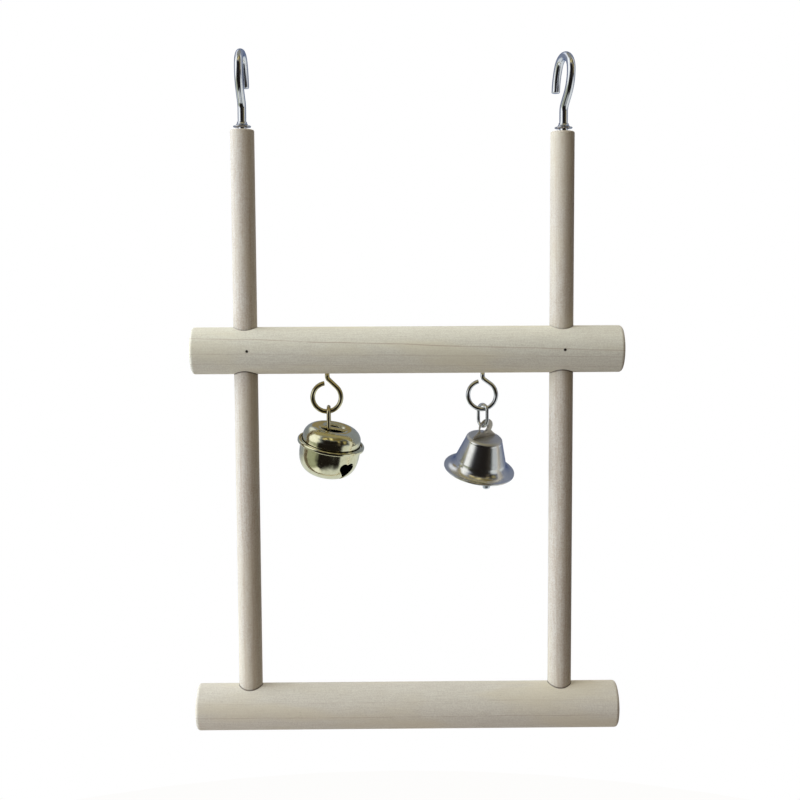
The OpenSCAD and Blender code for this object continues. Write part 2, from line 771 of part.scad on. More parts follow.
module jingle_lower_shell() {
    wall_r = jingle_lower_r - jingle_wall;
    lip_in = jingle_flange_r - 2 * jingle_roll_w;
    slot_top_z = -jingle_heart_drop - jingle_heart_h + heart_lobe_r;
    slot_reach = jingle_lower_r - jingle_wall;
    color("goldenrod")
        jingle_place()
            difference() {
                rotate_extrude($fn = metal_facets)
                    polygon(concat(
                        [[wall_r, 0], [jingle_flange_r - jingle_roll_w, 0]],
                        [[jingle_flange_r - jingle_roll_w, jingle_flange_t + tight]],
                        [[lip_in, jingle_flange_t + tight], [lip_in, 2 * jingle_flange_t]],
                        [[jingle_flange_r - jingle_flange_t / 2, 2 * jingle_flange_t]],
                        [[jingle_flange_r, jingle_flange_t], [jingle_flange_r, 0]],
                        [[jingle_flange_r - jingle_flange_t / 2, -jingle_flange_t]],
                        [[jingle_lower_r, -jingle_flange_t]],
                        [for (i = [2:bowl_steps])
                            bowl_point(jingle_lower_r, jingle_lower_h, 90 * i / bowl_steps)],
                        [for (i = [bowl_steps:-1:2])
                            bowl_point(wall_r, jingle_lower_h - jingle_wall, 90 * i / bowl_steps)]
                    ));
                rotate([0, 0, jingle_slot_turn]) {
                    translate([0, 0, -jingle_heart_drop])
                        rotate([90, 0, 0])
                            linear_extrude(height = 2 * (jingle_lower_r + over), center = true)
                                heart();
                    translate([-jingle_slot_w / 2, -slot_reach, -jingle_lower_h - over])
                        cube([jingle_slot_w, 2 * slot_reach, slot_top_z + jingle_lower_h + over]);
                }
            }
}

module jingle_pellet() {
    color("dimgray")
        jingle_place()
            translate([0, 0, pellet_rest_z])
                sphere(d = pellet_d, $fn = metal_facets);
}

// The hand bell hangs from the link's lower arc by the top of its tab's hole
module bell_place() {
    over_upper_axis(bell_link_x, bell_link_bottom_z)
        rotate([bell_lean, bell_tilt, 0])
            rotate([0, 0, tab_turn])
                translate([tab_link_offset + tab_hole_shift, 0, -tab_pivot_h])
                    children();
}

function flare_curve(mouth_r, waist_r, waist_z, steps) =
    [for (i = [0:steps])
        let (a = 90 * i / steps)
        [mouth_r - (mouth_r - waist_r) * sin(a), bell_lip_h + (waist_z - bell_lip_h) * (1 - cos(a))]];
flare_out = flare_curve(bell_mouth_r, bell_waist_r, bell_waist_h, flare_steps);
flare_in = flare_curve(bell_mouth_r - bell_wall, bell_waist_r - bell_wall, bell_waist_h, flare_steps);

module bell_shell() {
    side_x = bell_crown_r - bell_shoulder_r;
    side_z = bell_h - bell_shoulder_r;
    color("silver")
        bell_place()
            difference() {
                rotate_extrude($fn = metal_facets)
                    polygon(concat(
                        [[bell_mouth_r - bell_wall, 0], [bell_mouth_r, 0]],
                        flare_out,
                        arc_points(side_x, side_z, bell_shoulder_r, 0, 90, shoulder_steps),
                        [[0, bell_h], [0, bell_h - bell_wall]],
                        arc_points(side_x, side_z, bell_shoulder_r - bell_wall, 90, 0, shoulder_steps),
                        [for (i = [flare_steps:-1:0]) flare_in[i]]
                    ));
                translate([-tongue_w / 2 - tight, -tab_t / 2 - tight, bell_h - bell_wall - over])
                    cube([tongue_w + 2 * tight, tab_t + 2 * tight, bell_wall + 2 * over]);
            }
}

module bell_hanger_tab() {
    top_r = tab_top_w / 2;
    color("darkgray")
        bell_place()
            rotate([90, 0, 0])
                linear_extrude(height = tab_t, center = true)
                    difference() {
                        union() {
                            translate([-tab_shift, bell_h + tab_h - top_r])
                                circle(r = top_r, $fn = metal_facets);
                            translate([-tab_shift, bell_h])
                                polygon([
                                    [-tab_w / 2, 0],
                                    [tab_w / 2, 0],
                                    [tab_w / 2, tab_t],
                                    [top_r, tab_h - top_r],
                                    [-top_r, tab_h - top_r],
                                    [-tab_w / 2, tab_t]
                                ]);
                            translate([-tongue_w / 2, bell_h - bell_wall - tongue_h])
                                square([tongue_w, tongue_h + bell_wall + tab_t]);
                        }
                        translate([-tab_hole_shift, bell_h + tab_hole_h])
                            circle(d = tab_hole_d, $fn = metal_facets);
                        translate([0, tongue_hole_z])
                            circle(d = tongue_hole_d, $fn = metal_facets);
                    }
}

// The clapper's eye has slid round in the tongue's hole, so that the clapper hangs down
module clapper_place() {
    bell_place()
        translate([0, 0, clapper_eye_z])
            rotate([-clapper_slide, 0, 0])
                children();
}

module clapper_wire() {
    entry = clapper_entry_angle;
    runs = eye_runs(clapper_stem, clapper_eye_r, entry, clapper_end_angle, clapper_bend_r, 0);
    color("lightsteelblue")
        clapper_place()
            translate([0, 0, -clapper_eye_drop - clapper_stem])
                rotate([0, 0, 90])
                    bent_wire(runs, clapper_wire_d);
}

module clapper_bob() {
    bob_r = bob_d / 2;
    socket_r = clapper_wire_d / 2 + tight;
    corner = bob_corner_r;
    arris = corner / 2;
    color("lightsteelblue")
        clapper_place()
            translate([0, 0, -clapper_len])
                rotate_extrude($fn = metal_facets)
                    polygon(concat(
                        [[0, 0]],
                        arc_points(bob_r - corner, corner, corner, -90, 0, shoulder_steps),
                        arc_points(bob_r - arris, bob_h - arris, arris, 0, 90, shoulder_steps),
                        [[socket_r, bob_h]],
                        [[socket_r, bob_h - bob_socket - tight], [0, bob_h - bob_socket - tight]]
                    ));
}

left_rod();
right_rod();
upper_perch();
lower_perch();
left_brad();
right_brad();
left_hook();
left_hook_collar();
right_hook();
right_hook_collar();
brass_eye();
nickel_eye();
jingle_link();
bell_link();
jingle_upper_shell();
jingle_lower_shell();
jingle_pellet();
bell_shell();
bell_hanger_tab();
clapper_wire();
clapper_bob();
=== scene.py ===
import math

import bmesh
import bpy
from mathutils import Matrix, Vector


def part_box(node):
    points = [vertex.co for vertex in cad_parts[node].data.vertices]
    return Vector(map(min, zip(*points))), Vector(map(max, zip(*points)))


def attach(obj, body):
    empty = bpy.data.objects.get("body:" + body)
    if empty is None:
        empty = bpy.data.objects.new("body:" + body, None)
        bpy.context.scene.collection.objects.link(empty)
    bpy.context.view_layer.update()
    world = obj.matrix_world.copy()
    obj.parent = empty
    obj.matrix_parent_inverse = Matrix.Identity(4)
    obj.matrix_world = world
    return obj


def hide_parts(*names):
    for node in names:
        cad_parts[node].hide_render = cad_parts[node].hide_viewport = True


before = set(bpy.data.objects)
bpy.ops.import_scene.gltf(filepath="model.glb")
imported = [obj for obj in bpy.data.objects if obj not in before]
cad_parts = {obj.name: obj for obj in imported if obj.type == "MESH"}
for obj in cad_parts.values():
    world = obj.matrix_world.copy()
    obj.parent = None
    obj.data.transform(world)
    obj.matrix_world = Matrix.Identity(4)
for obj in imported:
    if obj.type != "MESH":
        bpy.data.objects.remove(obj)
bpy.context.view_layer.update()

# Everything below is in millimetres, and becomes metres where a mesh or a lamp is made
MM = 0.001


def middle(node, axis):
    """The middle of a node's box along an axis, in millimetres."""
    low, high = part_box(node)
    return (low[axis] + high[axis]) / 2 / MM


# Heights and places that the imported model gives
UPPER_AXIS_Z = middle("upper_perch", 2)
LOWER_AXIS_Z = middle("lower_perch", 2)
LEFT_ROD_X = middle("left_rod", 0)
RIGHT_ROD_X = middle("right_rod", 0)
LEFT_ROD_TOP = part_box("left_rod")[1][2] / MM
RIGHT_ROD_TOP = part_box("right_rod")[1][2] / MM

# Wooden frame
PERCH_D = 16.0

# Brads
BRAD_D = 1.0
BRAD_LEN = 12.0
BRAD_RECESS = 0.7
BRAD_POINT_LEN = 1.2
BRAD_SHIFTS = {"left": 1.3, "right": 0.2}
BRAD_HEAD_H = 0.12
BRAD_HEAD_DIP_SHARE = 0.3
BRAD_RIM_H = 0.3
BRAD_NECK_LEN = 0.5
BRAD_SHANK_SHARE = 0.96
BRAD_RINGS = 9
BRAD_RING_STEP = 0.9
BRAD_TIP_SHARE = 0.3
BRAD_TIP_LEN = 0.3

# Cup hooks
HOOK_WIRE_D = 2.85
HOOK_COLLAR_GAP = 0.65
LEFT_HOOK_RISE = 0.3
HOOK_SHANK_LEN = 5.9
HOOK_LOWER_BEND_R = 4.5
HOOK_LOWER_BEND_ANGLE = 36
HOOK_SLOPE_LEN = 3.6
HOOK_SIDE_R = 12.5
HOOK_SIDE_BEND_ANGLE = 40
HOOK_TOP_R = 4.9
HOOK_TOP_BEND_ANGLE = 150
HOOK_TIP_R = 21.0
HOOK_TIP_BEND_ANGLES = {"left": 22, "right": 24}
HOOK_TURNS = {"left": 86.5, "right": 108}
HOOK_LEANS = {"left": 0.2, "right": 0}
HOOK_SHIFTS = {"left": 0, "right": 0.3}
COLLAR_D = 6.0
COLLAR_H = 1.7
COLLAR_SLIDES = {"left": 0, "right": 0.45}
COLLAR_WALL = 0.35
COLLAR_BORE_GAP = 0.05
COLLAR_EDGE = 0.08
HOOK_SCREW_LEN = 13.0
HOOK_CORE_D = 2.1
HOOK_PITCH = 1.3
HOOK_END_ROUND = 0.4

# Screw eyes
EYE_OFFSETS = {"brass": -26.2, "nickel": 27.0}
EYE_WIRES = {"brass": 1.6, "nickel": 1.5}
EYE_RADII = {"brass": 4.85, "nickel": 4.8}
EYE_ENTRY_ANGLES = {"brass": 46, "nickel": 54}
EYE_END_ANGLES = {"brass": 99, "nickel": 104}
EYE_RING_SHIFT = 0.2
EYE_NECK_LENS = {"brass": 0.9, "nickel": 1.1}
EYE_BEND_R = 1.6
EYE_SCREW_LEN = 8.0
EYE_PITCH = 0.9
EYE_RIDGE_H = 0.3
EYE_END_ROUND = 0.18

# Links
JINGLE_LINK_WIRE_D = 1.25
JINGLE_LINK_H = 10.2
JINGLE_LINK_W = 5.6
BELL_LINK_WIRE_D = 1.1
BELL_LINK_H = 8.6
BELL_LINK_W = 5.4
LINK_SLIDES = {"brass": 0.6, "nickel": 0.25}
LINK_GAP = 0.15
TURNED_LINK_GAP = 0.3

# Jingle bell
JINGLE_WALL = 0.5
JINGLE_FLANGE_R = 11.6
JINGLE_UPPER_R = 10.05
JINGLE_UPPER_H = 6.1
JINGLE_SHOULDER_R = 4.0
JINGLE_LOWER_R = 10.5
JINGLE_LOWER_H = 11.4
JINGLE_FLANGE_T = 0.4
JINGLE_ROLL_W = 0.45
JINGLE_FILLET_R = 0.25
JINGLE_FLANGE_EDGE_R = 0.15
JINGLE_LIP_R = 0.1
JINGLE_ROLL_TOP_R = 0.45
JINGLE_ROLL_LOW_R = 0.35
JINGLE_CROWN_D = 7.9
JINGLE_STRAP_W = 2.4
JINGLE_STRAP_DROP = 0.25
JINGLE_STRAP_CORNER_R = 0.2
JINGLE_STRAP_INSET = 1.0
JINGLE_LINK_OFFSET = 1.65
JINGLE_SLOT_W = 1.2
JINGLE_HEART_W = 5.8
JINGLE_HEART_H = 5.8
JINGLE_HEART_DROP = 3.5
JINGLE_SLOT_TURN = 44
HEART_LOBE_SHARE = 0.29
BOWL_POWER = 3.2
PELLET_D = 4.6
PELLET_GAP = 0.2
PELLET_SEAM_DEPTH = 0.05
PELLET_SEAM_H = 0.2
JINGLE_LEAN = 12
JINGLE_TILT = 10.5

# Hand bell
BELL_WALL = 0.55
BELL_MOUTH_R = 12.4
BELL_H = 12.7
BELL_CROWN_R = 6.4
BELL_SHOULDER_R = 1.2
BELL_WAIST_R = 8.8
BELL_WAIST_H = 4.1
BELL_LIP_H = 0.5
BELL_LIP_R = 0.2
BELL_INNER_LIP_R = 0.12
BELL_INNER_LIP_STEP = 0.03
BELL_INNER_LIP_H = 0.1
BELL_RIPPLE_H = 0.008
BELL_RIPPLE_TURN = 2.1
BELL_LEAN = 19
BELL_TILT = 8
TAB_T = 0.75
TAB_W = 9.6
TAB_TOP_W = 5.8
TAB_H = 6.9
TAB_HOLE_D = 3.5
TAB_HOLE_H = 3.75
TAB_HOLE_SHIFT = 1.3
TAB_SHIFT = 0.4
TAB_TURN = 39
TAB_LINK_OFFSET = 0.55
TAB_CORNER_R = 0.25
TAB_BEVEL = 0.1
TONGUE_W = 3.2
TONGUE_H = 2.9
TONGUE_HOLE_D = 1.5
TONGUE_HOLE_SHARE = 0.8
CLAPPER_WIRE_D = 0.8
CLAPPER_EYE_R = 1.15
CLAPPER_BEND_R = 0.6
CLAPPER_ENTRY_ANGLE = 58
CLAPPER_END_ANGLE = 118
CLAPPER_SLIDE = 20
CLAPPER_GAP = 0.12
CLAPPER_LEN = 15.6
CLAPPER_END_ROUND = 0.12
BOB_H = 3.6
BOB_D = 2.6
BOB_CORNER_R = 0.7
BOB_TOP_R = 0.35

# Fineness of the meshes
WIRE_SIDES = 36
LATHE_SIDES = 144
BEND_STEP = 3
SHARP_ANGLE = math.radians(38)
END_STEPS = 5
COLLAR_STEPS = 20
STRAP_STEPS = 24
WELD_GAP = 0.001
ON_AXIS = 1e-6

# What keeps two surfaces from lying in one plane, and how far a cutter reaches past what it cuts
APART = 0.02
CUT_OVER = 1


# Curves

def arc(cx, cz, r, start, end, steps):
    """Points of an arc in the profile plane, with its angles in degrees."""
    angles = [math.radians(start + (end - start) * i / steps) for i in range(steps + 1)]
    return [(cx + r * math.cos(a), cz + r * math.sin(a)) for a in angles]


def after_run(point, radius, amount):
    """Where a wire is after a run: radius zero is a straight of that length, else a bend of that angle."""
    x, z, heading = point
    if radius == 0:
        return x + amount * math.sin(heading), z + amount * math.cos(heading), heading
    turned = math.radians(amount)
    side = math.copysign(radius, turned)
    after = heading + turned
    across = side * (math.cos(heading) - math.cos(after))
    up = side * (math.sin(after) - math.sin(heading))
    return x + across, z + up, after


def wire_path(runs, start=(0.0, 0.0, 0.0)):
    """Points of a wire bent in the XZ plane that starts upwards."""
    path = [start]
    point = start
    for radius, amount in runs:
        steps = 2 if radius == 0 else max(2, math.ceil(abs(amount) / BEND_STEP))
        path += [after_run(point, radius, amount * k / steps) for k in range(1, steps + 1)]
        point = path[-1]
    return path


def eye_slope(ring_r, entry, bend_r, shift):
    """Length of the straight wire between an eye's first bend and its ring."""
    a = math.radians(entry)
    return (ring_r * math.cos(a) - shift - bend_r * (1 - math.cos(a))) / math.sin(a)


def eye_drop(ring_r, entry, bend_r, shift):
    """How far the middle of an eye's ring is from where its stem ends."""
    a = math.radians(entry)
    return (bend_r + ring_r) * math.sin(a) + eye_slope(ring_r, entry, bend_r, shift) * math.cos(a)


def eye_runs(stem, ring_r, entry, end_angle, bend_r, shift):
    """The runs of an eye's wire: stem, bend, straight and ring."""
    slope = eye_slope(ring_r, entry, bend_r, shift)
    return [(0, stem), (bend_r, entry), (0, slope), (ring_r, -(entry + 360 - end_angle))]


# Meshes

def wire_mesh(path, radius, closed=False, end_round=0.0):
    """A round wire swept along a path; an open wire's far end is rounded by end_round."""
    rings = [(x, z, heading, radius) for x, z, heading in path]
    if not closed and end_round:
        x, z, heading, _ = rings.pop()
        for i in range(END_STEPS + 1):
            a = math.radians(90 * i / END_STEPS)
            back = end_round * (1 - math.sin(a))
            rings.append((x - back * math.sin(heading), z - back * math.cos(heading), heading,
                          radius - end_round * (1 - math.cos(a))))
    if closed:
        rings.pop()
    points = []
    for x, z, heading, r in rings:
        for k in range(WIRE_SIDES):
            a = math.tau * k / WIRE_SIDES
            across = r * math.cos(a)
            points.append((x + across * math.cos(heading), r * math.sin(a), z - across * math.sin(heading)))
    count = len(rings)
    faces = []
    for i in range(count if closed else count - 1):
        for k in range(WIRE_SIDES):
            a, b = i * WIRE_SIDES, (i + 1) % count * WIRE_SIDES
            n = (k + 1) % WIRE_SIDES
            faces.append((a + k, a + n, b + n, b + k))
    if not closed:
        faces.append(tuple(range(WIRE_SIDES)))
        faces.append(tuple((count - 1) * WIRE_SIDES + k for k in range(WIRE_SIDES)))
    return points, faces


def lathe_mesh(profile, closed=False, sides=LATHE_SIDES):
    """A profile of radius and height turned about Z."""
    points, rows = [], []
    for r, z in profile:
        if r < ON_AXIS:
            rows.append([len(points)] * sides)
            points.append((0, 0, z))
        else:
            rows.append([len(points) + k for k in range(sides)])
            points += [(r * math.cos(math.tau * k / sides), r * math.sin(math.tau * k / sides), z)
                       for k in range(sides)]
    faces = []
    pairs = list(zip(rows, rows[1:])) + ([(rows[-1], rows[0])] if closed else [])
    for low, high in pairs:
        for k in range(sides):
            n = (k + 1) % sides
            corners = list(dict.fromkeys((low[k], low[n], high[n], high[k])))
            if len(corners) > 2:
                faces.append(tuple(corners))
    return points, faces


def joined(*parts):
    """Several meshes as one, each given as points, faces and the matrix that places it."""
    points, faces = [], []
    for part_points, part_faces, matrix in parts:
        start = len(points)
        points += [matrix @ Vector(p) for p in part_points]
        faces += [tuple(start + i for i in face) for face in part_faces]
    return points, faces


def piece(name, mesh, place, material, body, node):
    """A finished piece of the part that stands for one CAD node."""
    points, faces = mesh
    data = bpy.data.meshes.new(name)
    data.from_pydata([(place @ Vector(p)) * MM for p in points], [], faces)
    obj = bpy.data.objects.new(name, data)
    bpy.context.scene.collection.objects.link(obj)
    return dress(obj, material, body, node)


def tidy_normals(data):
    """Turns every face outwards and shades all but the sharp edges smooth."""
    shape = bmesh.new()
    shape.from_mesh(data)
    bmesh.ops.recalc_face_normals(shape, faces=shape.faces)
    shape.to_mesh(data)
    shape.free()
    data.shade_smooth()
    data.set_sharp_from_angle(angle=SHARP_ANGLE)


def dress(obj, material, body, node):
    """Gives a piece its material, and its place in the part."""
    tidy_normals(obj.data)
    obj.data.materials.clear()
    obj.data.materials.append(material)
    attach(obj, body)
    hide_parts(node)
    return obj


def cutter(outline, depth, place):
    """A prism that cuts: an outline in XZ, as deep as asked along Y both ways."""
    count = len(outline)
    points = [(x, side * depth, z) for side in (-1, 1) for x, z in outline]
    faces = [tuple(range(count)), tuple(range(2 * count - 1, count - 1, -1))]
    faces += [(k, k + count, (k + 1) % count + count, (k + 1) % count) for k in range(count)]
    data = bpy.data.meshes.new("cutter")
    data.from_pydata([(place @ Vector(p)) * MM for p in points], [], faces)
    obj = bpy.data.objects.new("cutter", data)
    bpy.context.scene.collection.objects.link(obj)
    tidy_normals(data)
    return obj


def cut(obj, *tools):
    """Cuts the tools out of a piece and clears them away."""
    for tool in tools:
        change = obj.modifiers.new("cut", "BOOLEAN")
        change.operation = "DIFFERENCE"
        change.solver = "EXACT"
        change.object = tool
    depsgraph = bpy.context.evaluated_depsgraph_get()
    data = bpy.data.meshes.new_from_object(obj.evaluated_get(depsgraph))
    obj.modifiers.clear()
    obj.data = data
    tidy_normals(data)
    for tool in tools:
        bpy.data.objects.remove(tool)


# Places

def move(x, y, z):
    return Matrix.Translation((x, y, z))


def turn(degrees, axis):
    return Matrix.Rotation(math.radians(degrees), 4, axis)


STILL = Matrix.Identity(4)


def under_perch_ring(kind):
    """Height of the middle of a screw eye's ring."""
    drop = eye_drop(EYE_RADII[kind], EYE_ENTRY_ANGLES[kind], EYE_BEND_R, EYE_RING_SHIFT)
    return UPPER_AXIS_Z - PERCH_D / 2 - EYE_NECK_LENS[kind] - drop


def link_top(kind, wire_d, gap):
    """Height of the middle of a link's wire where it hangs in its eye."""
    return under_perch_ring(kind) - EYE_RADII[kind] + EYE_WIRES[kind] / 2 + gap + wire_d / 2


JINGLE_LINK_X = EYE_OFFSETS["brass"] - EYE_RING_SHIFT + LINK_SLIDES["brass"]
JINGLE_LINK_TOP = link_top("brass", JINGLE_LINK_WIRE_D, LINK_GAP)
JINGLE_ARC_R = (JINGLE_LINK_W - JINGLE_LINK_WIRE_D) / 2
JINGLE_ARC_Z = JINGLE_LINK_TOP - JINGLE_LINK_H + JINGLE_LINK_WIRE_D + JINGLE_ARC_R
SHOULDER_X = JINGLE_UPPER_R - JINGLE_SHOULDER_R
SHOULDER_Z = JINGLE_UPPER_H - JINGLE_SHOULDER_R
DISH_ANGLE = 90 + math.degrees(math.asin((SHOULDER_X - JINGLE_CROWN_D / 2) / JINGLE_SHOULDER_R))
STRAP_TOP = JINGLE_UPPER_H - JINGLE_STRAP_DROP
STRAP_REACH = JINGLE_ARC_R - JINGLE_LINK_WIRE_D / 2 - LINK_GAP
JINGLE_ARC_H = STRAP_TOP - JINGLE_WALL + math.sqrt(STRAP_REACH ** 2 - (JINGLE_STRAP_W / 2) ** 2)
JINGLE_PLACE = (move(JINGLE_LINK_X, 0, JINGLE_ARC_Z) @ turn(JINGLE_TILT, "Y") @ turn(JINGLE_LEAN, "X")
                @ move(JINGLE_LINK_OFFSET, 0, -JINGLE_ARC_H))

BELL_LINK_X = EYE_OFFSETS["nickel"] - EYE_RING_SHIFT + LINK_SLIDES["nickel"]
BELL_LINK_TOP = link_top("nickel", BELL_LINK_WIRE_D, TURNED_LINK_GAP)
BELL_LINK_BOTTOM = BELL_LINK_TOP - BELL_LINK_H + BELL_LINK_WIRE_D
TAB_REACH = TAB_HOLE_D / 2 - BELL_LINK_WIRE_D / 2 - TURNED_LINK_GAP
TAB_PIVOT_H = BELL_H + TAB_HOLE_H + math.sqrt(TAB_REACH ** 2 - TAB_LINK_OFFSET ** 2)
BELL_PLACE = (move(BELL_LINK_X, 0, BELL_LINK_BOTTOM) @ turn(BELL_TILT, "Y") @ turn(BELL_LEAN, "X")
              @ turn(TAB_TURN, "Z") @ move(TAB_LINK_OFFSET + TAB_HOLE_SHIFT, 0, -TAB_PIVOT_H))
TONGUE_HOLE_Z = BELL_H - BELL_WALL - TONGUE_HOLE_D * TONGUE_HOLE_SHARE
CLAPPER_EYE_Z = TONGUE_HOLE_Z - TONGUE_HOLE_D / 2 + CLAPPER_GAP + CLAPPER_WIRE_D / 2 - CLAPPER_EYE_R
CLAPPER_PLACE = BELL_PLACE @ move(0, 0, CLAPPER_EYE_Z) @ turn(-CLAPPER_SLIDE, "X")


# Tones of the materials
PALE_WOOD = (0.78, 0.755, 0.61)
DEEP_WOOD = (0.65, 0.61, 0.48)
LOWER_PALE_WOOD = (0.75, 0.705, 0.575)
LOWER_DEEP_WOOD = (0.63, 0.575, 0.46)
ROD_PALE_WOOD = (0.66, 0.62, 0.52)
ROD_DEEP_WOOD = (0.51, 0.425, 0.315)
WARM_SHARES = (0.95, 0.90, 0.78)
GROWTH_TONE = (0.34, 0.21, 0.10)
PORE_TONE = (0.33, 0.25, 0.17)
# Painted shadow in the gap where a rod enters a perch
SEAM_SHADOW_TONE = (0.06, 0.042, 0.028)
END_RING_TONE = (0.36, 0.27, 0.18)
# Painted shade on the inside of the hollow jingle bell
INSIDE_SHADE_TONE = (0.035, 0.03, 0.02)

# Wood: how much its grain is drawn out, its growth lines and where its end rings have their middle
FIBRE_STRETCH = 0.07
PATCH_STRETCH = 0.25
FIBRE_SHARE = 0.42
WAVER_STRETCH = 0.05
WAVER = 0.9
PITH_OFFSETS = {0: (0, -17, 24), 2: (-20, -17, 0)}
# How far the painted seam shadow reaches out from the perch's surface
SEAM_SHADOW_REACH = 0.5
# Each line: its place across the grain at zero along it, its slope, its width and its strength
UPPER_LINES = ((UPPER_AXIS_Z + 2.5, -0.0325, 0.26, 0.55), (UPPER_AXIS_Z - 1.2, -0.012, 0.25, 0.25),
               (UPPER_AXIS_Z - 4.6, -0.012, 0.3, 0.15))
LOWER_LINES = ((LOWER_AXIS_Z - 1.0, 0.003, 0.2, 0.35), (LOWER_AXIS_Z + 4.0, 0.006, 0.25, 0.15))
ROD_LINES = ((-2.6, 0.004, 0.2, 0.2), (1.4, -0.003, 0.2, 0.15))
# Each painted seam shadow round a rod where it enters a perch: the perch's height, and how dark the painted
# shade is above and below it
ROD_SEAM_SHADOWS = ((UPPER_AXIS_Z, 0.3, 0.95), (LOWER_AXIS_Z, 0.7, 0))

# Metal: the dull crown of the hand bell, and how a face of the jingle bell has to look inwards to take the
# painted shade of its inside
CROWN_SATIN_DROP = 0.9
CROWN_SATIN_ROUGHNESS = 0.5
SATIN_EDGE = 0.5
INSIDE_SHADE_DEEP = -5
INSIDE_SHADE_EDGE = -3
RELIEF_DEPTH = 0.02


# Materials

def add(tree, kind, **values):
    """A shader node with its inputs set by name; an underscore stands for a space."""
    item = tree.nodes.new(kind)
    for key, value in values.items():
        name = key.replace("_", " ")
        if name in item.inputs:
            item.inputs[name].default_value = value
        else:
            setattr(item, key, value)
    return item


def maths(tree, operation, first, second=None):
    """A sum on numbers or outputs of other nodes."""
    item = tree.nodes.new("ShaderNodeMath")
    item.operation = operation
    for socket, value in zip(item.inputs, (first, second)):
        if value is None:
            continue
        if isinstance(value, (int, float)):
            socket.default_value = value
        else:
            tree.links.new(value, socket)
    return item.outputs[0]


def mixed(tree, factor, first, second):
    """The first colour where the factor is nothing, the second where it is one."""
    item = tree.nodes.new("ShaderNodeMix")
    item.data_type = "RGBA"
    for socket, value in ((item.inputs[0], factor), (item.inputs[6], first), (item.inputs[7], second)):
        if isinstance(value, (int, float)):
            socket.default_value = value
        elif isinstance(value, tuple):
            socket.default_value = (*value, 1)
        else:
            tree.links.new(value, socket)
    return item.outputs[2]


def ranged(tree, value, low, high, to_low, to_high):
    """A value taken smoothly from one range to another."""
    item = add(tree, "ShaderNodeMapRange", From_Min=low, From_Max=high, To_Min=to_low, To_Max=to_high)
    item.interpolation_type = "SMOOTHSTEP"
    tree.links.new(value, item.inputs["Value"])
    return item.outputs["Result"]


def noise(tree, coords, scale, detail=2.0, roughness=0.5):
    item = add(tree, "ShaderNodeTexNoise", Scale=scale, Detail=detail, Roughness=roughness)
    tree.links.new(coords, item.inputs["Vector"])
    return item.outputs["Fac"]


def in_millimetres(tree, stretch=(1, 1, 1)):
    """The piece's own coordinates in millimetres, drawn out along an axis by its share in stretch."""
    coords = add(tree, "ShaderNodeTexCoord")
    scaled = tree.nodes.new("ShaderNodeVectorMath")
    scaled.operation = "MULTIPLY"
    scaled.inputs[1].default_value = [share / MM for share in stretch]
    tree.links.new(coords.outputs["Object"], scaled.inputs[0])
    return scaled.outputs[0]


def bumped(tree, shader, height, distance, strength):
    """Fine relief on a surface, with its distance in millimetres."""
    item = add(tree, "ShaderNodeBump", Strength=strength, Distance=distance * MM)
    tree.links.new(height, item.inputs["Height"])
    tree.links.new(item.outputs["Normal"], shader.inputs["Normal"])


def new_material(name):
    material = bpy.data.materials.new(name)
    material.use_nodes = True
    return material, material.node_tree, material.node_tree.nodes["Principled BSDF"]


def growth_line(tree, across, along, level, slope, width, strength):
    """Where a dark growth ring comes to the surface: a thin wavering line that slopes with length."""
    stretch = (WAVER_STRETCH, WAVER_STRETCH, WAVER_STRETCH)
    waver = maths(tree, "MULTIPLY", noise(tree, in_millimetres(tree, stretch), scale=1.0), WAVER)
    target = maths(tree, "ADD", maths(tree, "MULTIPLY", along, slope), level)
    off = maths(tree, "ABSOLUTE", maths(tree, "SUBTRACT", maths(tree, "ADD", across, waver), target))
    return ranged(tree, off, 0, width, strength, 0)


def painted_seam_shadow(tree, across, up, axis_z, above, below):
    """Painted shadow in the gap round a rod where it enters a perch, drawn along the perch's round surface.
    """
    rise = maths(tree, "SUBTRACT", up, axis_z)
    squares = [maths(tree, "MULTIPLY", side, side) for side in (across, rise)]
    reach = maths(tree, "SQRT", maths(tree, "ADD", *squares))
    amount = ranged(tree, rise, -1, 1, below, above)
    shade = ranged(tree, reach, PERCH_D / 2, PERCH_D / 2 + SEAM_SHADOW_REACH, 1, 0)
    return maths(tree, "MULTIPLY", shade, amount)


def end_grain(tree, axis, deep):
    """How far the surface faces along the axis, and the tone that a sawn end has there."""
    facing = add(tree, "ShaderNodeSeparateXYZ")
    tree.links.new(add(tree, "ShaderNodeNewGeometry").outputs["Normal"], facing.inputs[0])
    on_end = ranged(tree, maths(tree, "ABSOLUTE", facing.outputs[axis]), 0.75, 0.95, 0, 1)
    rings = add(tree, "ShaderNodeTexWave", Scale=0.32, Distortion=1.4, Detail=2.0, wave_type="RINGS")
    rings.rings_direction = "X" if axis == 0 else "Y"
    off_pith = add(tree, "ShaderNodeMapping", Location=PITH_OFFSETS[axis])
    tree.links.new(in_millimetres(tree), off_pith.inputs[0])
    tree.links.new(off_pith.outputs[0], rings.inputs["Vector"])
    return on_end, mixed(tree, ranged(tree, rings.outputs["Fac"], 0.55, 0.95, 0, 0.4), deep, END_RING_TONE)


